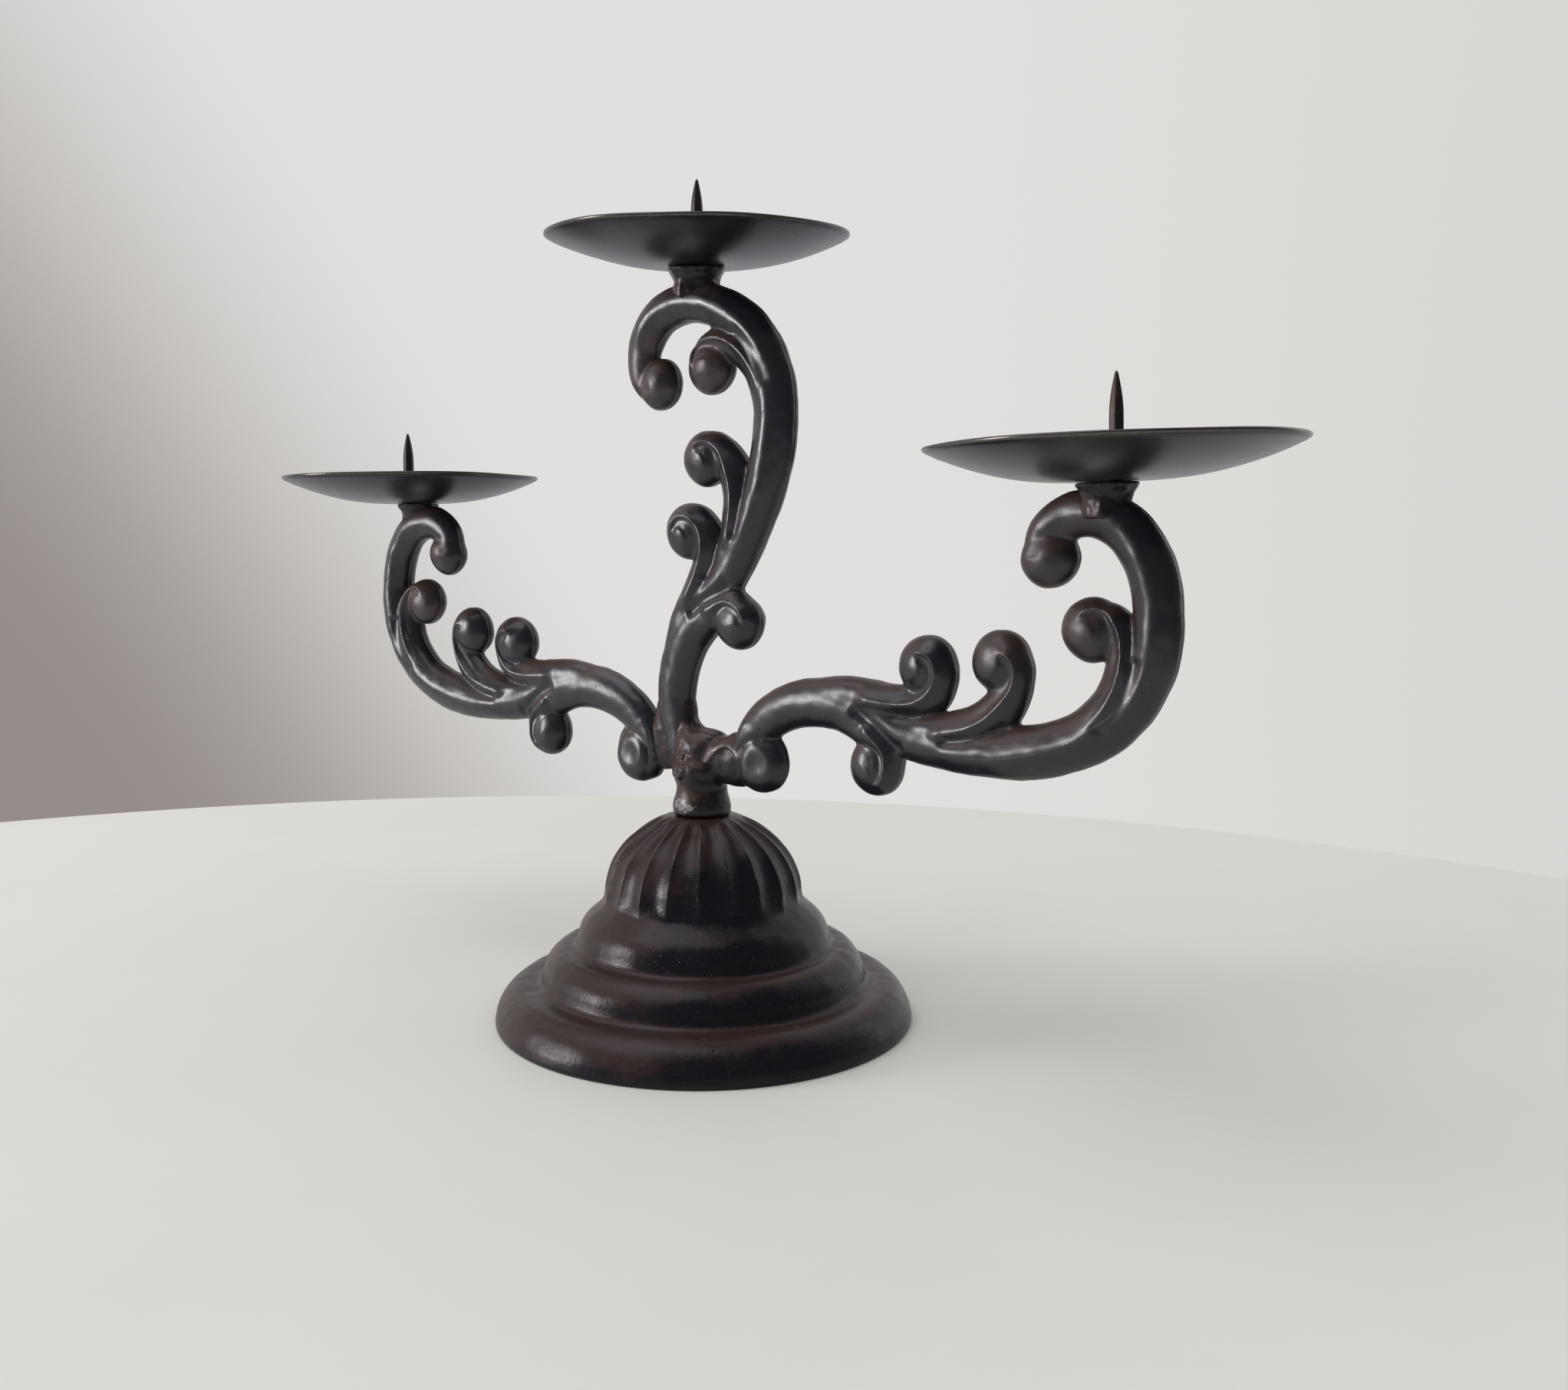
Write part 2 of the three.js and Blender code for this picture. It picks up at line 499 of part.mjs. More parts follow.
/** Ferrule under a pan: flared to the pan's floor, bored for the spike, its foot shaped to the arm. */
function ferrule({ spikeSet, ferruleSet: [x, y], neckRadius }, placement, arm) {
  const top = -PAN_DEPTH - FIT_GAP;
  const flare = top - FERRULE_FLARE_HEIGHT;
  const foot = top - FERRULE_STEM;
  const profile = [
    [0, foot], [neckRadius, foot], [neckRadius, flare],
    [neckRadius + FERRULE_FLARE * 0.35, (flare + top) / 2], [neckRadius + FERRULE_FLARE, top], [0, top],
  ];
  const bored = toSolid(turned(profile, 20).translate(x, y, 0)).subtract(spikeHole(spikeSet));
  return toGeometry(bored.transform(Array.from(placement.elements)).subtract(arm));
}

/** Finish of a piece: blue-black paint over iron, browner and rougher where the paint has worn. */
function iron(colour, roughness, metalness) {
  return new THREE.MeshStandardMaterial({ color: colour, roughness, metalness });
}

/** Adds a named piece to a group. */
function addPiece(group, name, geometry, material) {
  const mesh = new THREE.Mesh(geometry, material);
  mesh.name = name;
  group.add(mesh);
  return mesh;
}

/** Builds the whole candelabrum. */
function candelabrum() {
  const whole = new THREE.Group();
  const placements = armPlacements();
  const stretches = {};
  const grown = {};
  for (const pan of PANS) {
    stretches[pan.side] = armStretch(pan, placements[pan.side]);
    const matrixValues = Array.from(placements[pan.side].elements);
    grown[pan.side] = armSolid(FIT_GAP, stretches[pan.side]).transform(matrixValues);
  }

  addPiece(whole, 'base_bell', footBell(), iron(0x2c2624, 0.48, 0.55));
  addPiece(whole, 'base_washer', washer(), iron(0x55514e, 0.5, 0.8));
  addPiece(whole, 'base_bolt', bolt(), iron(0x4a4644, 0.5, 0.8));
  const neckSolid = neck(grown.centre);
  addPiece(whole, 'hub_neck', toGeometry(neckSolid), iron(0x26272b, 0.42, 0.6));

  const [roomRadius, roomTop] = [NECK_TOP_RADIUS + FIT_GAP, SEAT_HEIGHT + NECK_HEIGHT + FIT_GAP];
  const neckRoom = toSolid(turned([
    [0, SEAT_HEIGHT], [roomRadius, SEAT_HEIGHT], [roomRadius, roomTop], [0, roomTop],
  ], 24));
  const saddles = {
    right: [
      CENTRE_VOLUTE_PLACE[0] + RIGHT_WELD_BITE, VOLUTES.root[0] - RIGHT_WELD_BITE,
      RIGHT_WELD_HEIGHT, RIGHT_WELD_HALF_HEIGHT,
    ],
    left: [
      -VOLUTES.root[0] + LEFT_WELD_BITE, CENTRE_VOLUTE_PLACE[0] - LEFT_WELD_CENTRE_BITE,
      LEFT_WELD_HEIGHT, LEFT_WELD_HALF_HEIGHT,
    ],
  };
  for (const [side, [fromX, toX, height, halfHeight]] of Object.entries(saddles)) {
    const solid = weldSaddle(fromX, toX, height, halfHeight, [grown.centre, grown[side], neckRoom]);
    addPiece(whole, `hub_weld_${side}`, toGeometry(solid), iron(0x33291f, 0.6, 0.5));
  }

  for (const [side, matrix] of Object.entries(placements)) {
    const arm = new THREE.Group();
    arm.applyMatrix4(matrix);
    for (const face of ['front', 'back']) {
      const toFront = (face === 'front') !== (side === 'left');
      const half = armHalf(toFront ? -1 : 1, stretches[side]);
      addPiece(arm, `arm_${side}_${face}_half`, half, iron(0x25262a, 0.4, 0.6));
    }
    whole.add(arm);
  }

  for (const pan of PANS) {
    const matrix = panPlacement(pan);
    const stub = ferrule(pan, matrix, grown[pan.side]);
    addPiece(whole, `ferrule_${pan.side}`, stub, iron(0x27262a, 0.45, 0.6));
    const leaning = new THREE.Group();
    leaning.applyMatrix4(matrix);
    addPiece(leaning, `pan_${pan.side}`, dripPan(pan), iron(0x3a3938, 0.42, 0.6));
    addPiece(leaning, `spike_${pan.side}`, spike(pan), iron(0x3a2f2b, 0.45, 0.7));
    whole.add(leaning);
  }
  return whole;
}

export default candelabrum();
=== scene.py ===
"""Three-arm table candelabrum of black iron: the surfaces and finishes that dress its solids.

All sizes are written in millimetres and turned to metres when a mesh is made. The frame is that
of the solids: +X along the right arm, +Z up, the table at Z = 0 under the middle of the foot.
"""
from __future__ import annotations

import logging
import math
from dataclasses import dataclass, field, replace
from enum import Enum

import bmesh
import bpy
import numpy as np
from mathutils import Matrix, Vector


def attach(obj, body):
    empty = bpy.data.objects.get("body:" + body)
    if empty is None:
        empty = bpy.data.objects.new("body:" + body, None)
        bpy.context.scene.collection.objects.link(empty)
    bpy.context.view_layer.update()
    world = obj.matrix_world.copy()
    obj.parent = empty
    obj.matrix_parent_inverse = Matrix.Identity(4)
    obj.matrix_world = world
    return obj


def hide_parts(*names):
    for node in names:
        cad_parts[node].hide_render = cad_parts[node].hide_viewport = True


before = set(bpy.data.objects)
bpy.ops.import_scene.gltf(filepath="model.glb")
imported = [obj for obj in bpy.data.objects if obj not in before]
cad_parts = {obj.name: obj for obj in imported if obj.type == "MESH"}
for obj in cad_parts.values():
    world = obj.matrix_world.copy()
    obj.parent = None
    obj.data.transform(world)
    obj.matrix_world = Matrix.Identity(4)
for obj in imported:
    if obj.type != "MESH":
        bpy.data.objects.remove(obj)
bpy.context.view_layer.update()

LOG = logging.getLogger("candelabrum")
MM = 0.001
DENSE_STEPS = 1200
WAVE_COUNT = 9
Array = np.ndarray
Mesh = bpy.types.Mesh
Material = bpy.types.Material
Colour = tuple[float, float, float]


class Side(Enum):
    """Which of the three arms a piece belongs to."""

    RIGHT = "right"
    CENTRE = "centre"
    LEFT = "left"


class Face(Enum):
    """Which pressed half of an arm a piece is."""

    FRONT = "front"
    BACK = "back"


class Wiping(Enum):
    """Which way the paint was wiped on."""

    ALONG = "along the arms"
    ROUND = "round the upright axis"


# ---- Numbers and meshes ----


def smoothstep(value: Array, low: float, high: float) -> Array:
    """Rises from 0 at low to 1 at high as 3t^2 - 2t^3; with high below low it falls instead."""
    share = np.clip((value - low) / (high - low), 0.0, 1.0)
    return share * share * (3.0 - 2.0 * share)


def curve_through(points: Array, count: int) -> Array:
    """Runs a smooth curve through points and spreads samples evenly along it.

    Each span is a cubic Hermite whose end slopes are the central differences of the points over
    their chord lengths.

    Args:
        points: One row per point; the first two columns are the place, any more are carried along.
        count: Number of samples.

    Returns:
        An array of count rows with the same columns.
    """
    chord = np.r_[0.0, np.cumsum(np.linalg.norm(np.diff(points[:, :2], axis=0), axis=1))]
    slope = np.gradient(points, chord, axis=0)

    def evaluate(at: Array) -> Array:
        """Values of the cubic pieces at distances along the chord."""
        span = np.clip(np.searchsorted(chord, at, side="right") - 1, 0, len(chord) - 2)
        width = (chord[span + 1] - chord[span])[:, None]
        t = ((at - chord[span]) / (chord[span + 1] - chord[span]))[:, None]
        h00 = 2 * t**3 - 3 * t**2 + 1
        h10 = t**3 - 2 * t**2 + t
        h01 = -2 * t**3 + 3 * t**2
        h11 = t**3 - t**2
        return (h00 * points[span] + h10 * width * slope[span]
                + h01 * points[span + 1] + h11 * width * slope[span + 1])

    dense_at = np.linspace(0.0, chord[-1], DENSE_STEPS)
    dense = evaluate(dense_at)
    run = np.r_[0.0, np.cumsum(np.linalg.norm(np.diff(dense[:, :2], axis=0), axis=1))]
    return evaluate(np.interp(np.linspace(0.0, run[-1], count), run, dense_at))


def waves(place: Array, size: float, seed: int) -> Array:
    """Smooth unevenness: sine waves in seeded directions, summed and divided by their root count.

    Args:
        place: Points as rows of x, y, z in millimetres.
        size: Typical length of a wave in millimetres.
        seed: Seed of the directions and phases.

    Returns:
        One number per point, mostly within -1 to 1.
    """
    source = np.random.default_rng(seed)
    direction = source.normal(size=(WAVE_COUNT, 3))
    direction /= np.linalg.norm(direction, axis=1)[:, None]
    length = size * source.uniform(0.7, 1.5, WAVE_COUNT)
    phase = source.uniform(0.0, 2.0 * math.pi, WAVE_COUNT)
    angle = place @ (direction / length[:, None]).T * 2.0 * math.pi + phase
    return np.sin(angle).sum(axis=1) / math.sqrt(WAVE_COUNT)


def ripple(points: Array, *layers: tuple) -> Array:
    """Sum of layers of waves: each is a size, a seed and a height, one for all points or one each."""
    return sum(waves(points, size, seed) * height for size, seed, height in layers)


def bell(value: Array, width: float) -> Array:
    """Bell curve: 1 at 0 and 1/e at width to either side."""
    return np.exp(-(value / width) ** 2)


def faded(share: Array, start: float, end: float) -> Array:
    """1 along a line, but falling to 0 at its ends, before the share start and after the share end."""
    return smoothstep(share, 0.0, start) * smoothstep(share, 1.0, end)


def off_axis(points: Array) -> Array:
    """Distance of points from the Z axis."""
    return np.hypot(points[..., 0], points[..., 1])


def ring_angles(count: int) -> Array:
    """Angles of even steps round a circle, from 0."""
    return np.linspace(0.0, 2.0 * math.pi, count, endpoint=False)


def mesh_from(name: str, points: Array, faces: list, smooth: bool = True) -> Mesh:
    """Puts points in millimetres and faces, anticlockwise from outside, into a mesh in metres."""
    mesh = bpy.data.meshes.new(name)
    mesh.from_pydata((points * MM).tolist(), [], faces)
    mesh.polygons.foreach_set("use_smooth", np.full(len(mesh.polygons), smooth))
    mesh.update()
    return mesh


def put(name: str, data: bpy.types.ID) -> bpy.types.Object:
    """Puts an object of a mesh, lamp or camera into the scene."""
    thing = bpy.data.objects.new(name, data)
    bpy.context.scene.collection.objects.link(thing)
    return thing


def grid_faces(rows: int, columns: int, closed: bool = False) -> list:
    """Quads between rows of rings of that many columns; closed joins the last ring to the first."""
    ring = np.arange(rows if closed else rows - 1)[:, None]
    step = np.arange(columns)
    after, beside = (ring + 1) % rows, (step + 1) % columns
    corners = (ring * columns + step, ring * columns + beside, after * columns + beside,
               after * columns + step)
    return np.stack([corner.ravel() for corner in corners], 1).tolist()


def capped_tube(rings: Array) -> tuple[Array, list]:
    """Closes a stack of rings with a pole at each end; returns points and lists of point numbers."""
    rows, columns, _ = rings.shape
    points = np.vstack([rings.reshape(-1, 3), rings[0].mean(axis=0), rings[-1].mean(axis=0)])
    step = np.arange(columns)
    beside = (step + 1) % columns
    first, last = rows * columns, rows * columns + 1
    base = (rows - 1) * columns
    start = np.stack([beside, step, np.full(columns, first)], 1)
    end = np.stack([base + step, base + beside, np.full(columns, last)], 1)
    return points, grid_faces(rows, columns) + start.tolist() + end.tolist()


def turned(profile: Array, columns: int) -> Array:
    """Turns rows of [r, z] about Z: rings of points (r cos a, r sin a, z) at even angles a."""
    angle = ring_angles(columns)
    radius, height = profile[:, :1], profile[:, 1:2]
    return np.stack([radius * np.cos(angle), radius * np.sin(angle), height + 0.0 * angle], axis=2)


def points_of(mesh: Mesh) -> Array:
    """Points of a mesh in millimetres, one row each."""
    flat = np.empty(len(mesh.vertices) * 3)
    mesh.vertices.foreach_get("co", flat)
    return flat.reshape(-1, 3) / MM


def normals_of(mesh: Mesh) -> Array:
    """Vertex normals of a mesh, one row each."""
    flat = np.empty(len(mesh.vertices) * 3)
    mesh.vertex_normals.foreach_get("vector", flat)
    return flat.reshape(-1, 3)


def set_points(mesh: Mesh, points: Array) -> None:
    """Moves the points of a mesh to rows of x, y, z in millimetres."""
    mesh.vertices.foreach_set("co", (points * MM).ravel())
    mesh.update()


def set_mask(mesh: Mesh, name: str, values: Array) -> None:
    """Stores one number per point of a mesh under a name that a finish can read."""
    layer = mesh.attributes.get(name) or mesh.attributes.new(name, "FLOAT", "POINT")
    layer.data.foreach_set("value", np.asarray(values, dtype=np.float32))


def push(mesh: Mesh, distance: Array) -> None:
    """Moves the points of a mesh along their normals by distances in millimetres."""
    set_points(mesh, points_of(mesh) + normals_of(mesh) * distance[:, None])


def relaxed(points: Array, edges: Array, rounds: int, share: float = 0.5) -> Array:
    """Moves each point by a share of the way to the mean of its neighbours, in several rounds."""
    total = len(points)
    degree = np.bincount(edges.ravel(), minlength=total)[:, None]
    for _ in range(rounds):
        pull = np.empty_like(points)
        for axis in range(3):
            pull[:, axis] = (np.bincount(edges[:, 0], points[edges[:, 1], axis], total)
                             + np.bincount(edges[:, 1], points[edges[:, 0], axis], total))
        points = points + share * (pull / degree - points)
    return points


def fused(name: str, parts: list[tuple[Array, list]], grain: float, rounds: int) -> Mesh:
    """Fuses closed overlapping shapes into one skin and rounds the valleys between them.

    The shapes are remeshed with cubes of size grain, and the skin is then relaxed.

    Args:
        name: Name of the mesh.
        parts: Points in millimetres and faces of each closed shape.
        grain: Size of a cube in millimetres.
        rounds: How many times the skin is relaxed.

    Returns:
        The fused mesh.
    """
    points, faces, first = [], [], 0
    for part_points, part_faces in parts:
        points.append(part_points)
        faces.extend([[corner + first for corner in face] for face in part_faces])
        first += len(part_points)
    rough = mesh_from(f"{name}_rough", np.vstack(points), faces)
    holder = put(rough.name, rough)
    remesh = holder.modifiers.new("skin", "REMESH")
    remesh.mode = "VOXEL"
    remesh.voxel_size = grain * MM
    remesh.use_smooth_shade = True
    graph = bpy.context.evaluated_depsgraph_get()
    mesh = bpy.data.meshes.new_from_object(holder.evaluated_get(graph))
    mesh.name = name
    bpy.data.objects.remove(holder)
    bpy.data.meshes.remove(rough)
    edges = np.empty(len(mesh.edges) * 2, dtype=np.int64)
    mesh.edges.foreach_get("vertices", edges)
    set_points(mesh, relaxed(points_of(mesh), edges.reshape(-1, 2), rounds))
    return mesh


def cut_mesh(mesh: Mesh, name: str, place: tuple, normal: tuple) -> Mesh:
    """Keeps the part of a closed mesh on one side of a plane and closes the cut.

    Args:
        mesh: Mesh to cut; it isn't changed.
        name: Name of the new mesh.
        place: A point of the plane in millimetres.
        normal: The side that is kept is against this direction.

    Returns:
        The new closed mesh.
    """
    work = bmesh.new()
    work.from_mesh(mesh)
    everything = work.verts[:] + work.edges[:] + work.faces[:]
    bmesh.ops.bisect_plane(work, geom=everything, dist=1e-7, plane_co=Vector(place) * MM,
                           plane_no=Vector(normal), clear_outer=True)
    rim = [edge for edge in work.edges if edge.is_boundary]
    cap = bmesh.ops.triangle_fill(work, edges=rim, use_beauty=True, use_dissolve=False,
                                  normal=Vector(normal))
    for element in cap["geom"]:
        if isinstance(element, bmesh.types.BMFace):
            element.smooth = False
    bmesh.ops.recalc_face_normals(work, faces=work.faces[:])
    for edge in rim:
        if edge.is_valid:
            edge.smooth = False
    kept = bpy.data.meshes.new(name)
    work.to_mesh(kept)
    work.free()
    return kept


def slab(mesh: Mesh, name: str, low: float, high: float) -> Mesh:
    """Keeps the part of a closed mesh between two places on X, given in millimetres."""
    beyond = cut_mesh(mesh, f"{name}_cut", (low, 0, 0), (-1, 0, 0))
    return cut_mesh(beyond, name, (high, 0, 0), (1, 0, 0))


def moved_mesh(mesh: Mesh, name: str, matrix: Matrix) -> Mesh:
    """Copies a mesh and moves the copy by a matrix whose shift is in millimetres."""
    copy = mesh.copy()
    copy.name = name
    in_metres = matrix.copy()
    in_metres.translation = matrix.translation * MM
    copy.transform(in_metres)
    copy.update()
    return copy


def shift(x: float, y: float, z: float) -> Matrix:
    """Matrix of a shift."""
    return Matrix.Translation((x, y, z))


def turn(degrees: float, axis: str) -> Matrix:
    """Matrix of a turn about an axis through the origin."""
    return Matrix.Rotation(math.radians(degrees), 4, axis)


def moved(points: Array, matrix: Matrix) -> Array:
    """Points moved by a matrix whose shift is in millimetres."""
    plain = np.array(matrix)
    return points @ plain[:3, :3].T + plain[:3, 3]


# ---- Finishes ----


@dataclass(frozen=True)
class Noise:
    """Noise texture: waves per metre, octaves, roughness, and the edges it is sharpened between."""

    scale: float
    detail: float
    rough: float
    edges: tuple[float, float] | None = None


CLOUDS = Noise(42.0, 6.0, 0.72)
STREAKS = Noise(95.0, 5.0, 0.68)
FINE_STREAKS = Noise(520.0, 3.0, 0.6)
ORANGE_PEEL = Noise(210.0, 3.0, 0.55)
GRAIN = Noise(900.0, 3.0, 0.65)
FINE_GRAIN = Noise(2400.0, 2.0, 0.6)
PITTED_PATCHES = Noise(90.0, 2.0, 0.5, (0.56, 0.68))
CHIPPING = Noise(420.0, 4.0, 0.7)
SCRATCH_LINES = Noise(130.0, 2.0, 0.6, (0.69, 0.76))
SCRATCHED_PATCHES = Noise(60.0, 2.0, 0.5, (0.50, 0.60))
TABLE_MOTTLE = Noise(9.0, 5.0, 0.6, (0.35, 0.7))

PIT_CELLS = 260.0
PIT_EDGES = (0.06, 0.22)
BLOOM_AND_LIGHT_EDGES = (0.38, 0.62)
WEAR_AND_HIGHLIGHT_EDGES = (0.55, 1.05)
SPECK_EDGES = (0.60, 0.78)
SCRATCH_TURN, SCRATCH_SQUEEZE = (0.4, 0.7, 0.9), (1.0, 14.0, 14.0)
WIPE_TURN, WIPE_SQUEEZE = (0.0, 0.35, 0.0), (0.4, 1.3, 1.5)
GRIME: Colour = (0.012, 0.009, 0.008)
BUMP_METRES = 0.0008
CLOUD_SHARE, STREAK_SHARE, MASK_PULL = 0.6, 0.4, 0.42
PEEL_HEIGHT, GRAIN_HEIGHT, STREAK_HEIGHT, FINE_HEIGHT = 0.6, 0.14, 0.22, 0.07
PIT_DEPTH, SCRATCH_DEPTH, SEAM_GROOVE = 1.1, 0.5, 1.2
CHIPPING_PULL = 0.9
SPECK_SHARE, WEAR_AND_HIGHLIGHT_SHARE, SCRATCH_SHARE, PIT_SHARE, SEAM_SHARE = 0.22, 0.75, 0.6, 0.7, 0.8
SCRATCH_GAIN = 2.0
GRAIN_ROUGH, STREAK_ROUGH, BLOOM_AND_LIGHT_ROUGH, WEAR_SMOOTH = 0.4, 0.6, 0.10, 0.08
WIPE_ROUND, WIPE_UP, WIPE_OUT = 0.03, 1.6, 1.2
MIDDLE = 0.5


@dataclass(frozen=True)
class Signal:
    """Output of a shader node. A sum, difference, product or quotient adds a Math node."""

    tree: NodeTree
    socket: bpy.types.NodeSocket

    def __add__(self, other: Signal | float) -> Signal:
        """Sum."""
        return self.tree.math("ADD", self, other)

    def __sub__(self, other: Signal | float) -> Signal:
        """Difference."""
        return self.tree.math("SUBTRACT", self, other)

    def __rsub__(self, other: float) -> Signal:
        """Difference from a number."""
        return self.tree.math("SUBTRACT", other, self)

    def __mul__(self, other: Signal | float) -> Signal:
        """Product."""
        return self.tree.math("MULTIPLY", self, other)

    def __truediv__(self, other: Signal | float) -> Signal:
        """Quotient."""
        return self.tree.math("DIVIDE", self, other)


class NodeTree:
    """Short ways to add and join shader nodes in one tree."""

    def __init__(self, tree: bpy.types.NodeTree) -> None:
        """Keeps the tree."""
        self.tree = tree

    def feed(self, node: bpy.types.Node, inputs: dict[str | int, object]) -> None:
        """Joins signals to a node's inputs, or writes plain values into them."""
        for label, source in inputs.items():
            if isinstance(source, Signal):
                self.tree.links.new(source.socket, node.inputs[label])
            else:
                node.inputs[label].default_value = source

    def node(self, kind: str, inputs: dict[str | int, object], **settings: object) -> bpy.types.Node:
        """Adds a shader node, sets its properties and feeds its inputs."""
        node = self.tree.nodes.new(f"ShaderNode{kind}")
        for key, value in settings.items():
            setattr(node, key, value)
        self.feed(node, inputs)
        return node

    def add(self, output: str | int, kind: str, inputs: dict | None = None, **settings: object) -> Signal:
        """Adds a shader node and returns one of its outputs."""
        return Signal(self, self.node(kind, inputs or {}, **settings).outputs[output])

    def effect(self, group: bpy.types.NodeTree, **inputs: object) -> dict[str, Signal]:
        """Adds a node group and returns its outputs by name."""
        node = self.node("Group", inputs, node_tree=group)
        return {output.name: Signal(self, output) for output in node.outputs}

    def math(self, operation: str, *inputs: object, clamp: bool = False) -> Signal:
        """Adds a Math node."""
        return self.add(0, "Math", dict(enumerate(inputs)), operation=operation, use_clamp=clamp)

    def step(self, value: Signal, low: float, high: float) -> Signal:
        """Adds a smooth rise from 0 at low to 1 at high."""
        return self.add(0, "MapRange", {"Value": value, "From Min": low, "From Max": high},
                        interpolation_type="SMOOTHSTEP")

    def noise(self, place: Signal, noise: Noise) -> Signal:
        """Adds a Noise Texture, sharpened if the noise has edges."""
        value = self.add(0, "TexNoise", {"Vector": place, "Scale": noise.scale, "Detail": noise.detail,
                                         "Roughness": noise.rough})
        return self.step(value, *noise.edges) if noise.edges else value

    def squeezed(self, place: Signal, rotation: tuple, scale: tuple) -> Signal:
        """Adds a Mapping that scales a place and turns it."""
        return self.add(0, "Mapping", {"Vector": place, "Rotation": rotation, "Scale": scale})

    def along(self, vector: Signal, direction: Vector | tuple) -> Signal:
        """Adds the dot product of a vector with a fixed direction."""
        return self.add("Value", "VectorMath", {0: vector, 1: tuple(direction)}, operation="DOT_PRODUCT")

    def blend(self, share: Signal, *pair: Signal | Colour) -> Signal:
        """Adds a mix of two colours."""
        first, second = (tone if isinstance(tone, Signal) else (*tone, 1.0) for tone in pair)
        return self.add(2, "Mix", {0: share, 6: first, 7: second}, data_type="RGBA")


class EffectGroup(NodeTree):
    """Shader node group that turns places and numbers into numbers."""

    def __init__(self, name: str, **inputs: float | None) -> None:
        """Starts the group.

        Args:
            name: Name of the group.
            **inputs: Default value of each input, or None for a place.
        """
        super().__init__(bpy.data.node_groups.new(name, "ShaderNodeTree"))
        for label, value in inputs.items():
            kind = "NodeSocketVector" if value is None else "NodeSocketFloat"
            socket = self.tree.interface.new_socket(label, in_out="INPUT", socket_type=kind)
            if value is not None:
                socket.default_value = value
        entry = self.tree.nodes.new("NodeGroupInput")
        self.given = [Signal(self, entry.outputs[label]) for label in inputs]

    def finish(self, **outputs: Signal) -> bpy.types.NodeTree:
        """Ends the group with named outputs and returns it."""
        for label in outputs:
            self.tree.interface.new_socket(label, in_out="OUTPUT", socket_type="NodeSocketFloat")
        self.feed(self.tree.nodes.new("NodeGroupOutput"), outputs)
        return self.tree


def patina_and_light_group() -> bpy.types.NodeTree:
    """Brown over black paint, partly bloom and partly painted light, with wiped streaks, grain,
    orange-peel and pits.

    The brown is cloudy noise raised by its input mask, which marks faces turned up and to the
    left, towards the lamps, as painted light, and on the arms also the bloom round the tip.
    Streaks are noise drawn out along "Wiped", a place that changes slowly along the wiping. Pits
    are the middles of sparse cells.

    Returns:
        A group with outputs for bloom and painted light, then Grain, Streaks, Pits and Height.
    """
    group = EffectGroup("patina_and_light", Place=None, Wiped=None, Bloom=0.0, Amount=0.5, Pitting=0.5)
    place, wiped, mask, amount, pitting = group.given
    fine, grain = group.noise(wiped, FINE_STREAKS), group.noise(place, GRAIN)
    cloudy = group.noise(place, CLOUDS) * CLOUD_SHARE + group.noise(wiped, STREAKS) * STREAK_SHARE
    bloom_and_light = group.step(cloudy + (mask - MIDDLE) * MASK_PULL + (amount - MIDDLE), *BLOOM_AND_LIGHT_EDGES)
    cells = group.add("Distance", "TexVoronoi", {"Vector": place, "Scale": PIT_CELLS}, feature="F1")
    dots = 1.0 - group.step(cells, *PIT_EDGES)
    pits = group.math("MULTIPLY", dots * group.noise(place, PITTED_PATCHES), pitting, clamp=True)
    relief = (group.noise(place, ORANGE_PEEL) * PEEL_HEIGHT + grain * GRAIN_HEIGHT
              + fine * STREAK_HEIGHT + group.noise(place, FINE_GRAIN) * FINE_HEIGHT)
    return group.finish(Bloom=bloom_and_light, Grain=grain, Streaks=fine, Pits=pits,
                        Height=relief - pits * PIT_DEPTH)


def rubbed_and_highlight_group() -> bpy.types.NodeTree:
    """Lighter crests, partly wear and partly painted highlight: the crest mask broken up by noise,
    and fine scratches beside it.

    Returns:
        A group with outputs for the crests' wear and painted highlight, then Scratches.
    """
    group = EffectGroup("rubbed_and_lit_crests", Place=None, Crest=0.0)
    place, crest = group.given
    wear_and_highlight = group.step(crest + (group.noise(place, CHIPPING) - MIDDLE) * CHIPPING_PULL, *WEAR_AND_HIGHLIGHT_EDGES)
    lines = group.noise(group.squeezed(place, SCRATCH_TURN, SCRATCH_SQUEEZE), SCRATCH_LINES)
    return group.finish(Wear=wear_and_highlight, Scratches=lines * group.noise(place, SCRATCHED_PATCHES))


class SharedEffects:
    """The node groups that the iron finishes share, each built once."""

    def __init__(self) -> None:
        """Builds both groups."""
        self.patina_and_light = patina_and_light_group()
        self.rubbed_and_highlight = rubbed_and_highlight_group()


def new_material(name: str) -> tuple[Material, NodeTree, bpy.types.Node, Signal]:
    """Starts a material and returns it, its tree, its Principled shader and the object's place."""
    material = bpy.data.materials.new(name)
    material.use_nodes = True
    tree = NodeTree(material.node_tree)
    return material, tree, material.node_tree.nodes["Principled BSDF"], tree.add("Object", "TexCoord")


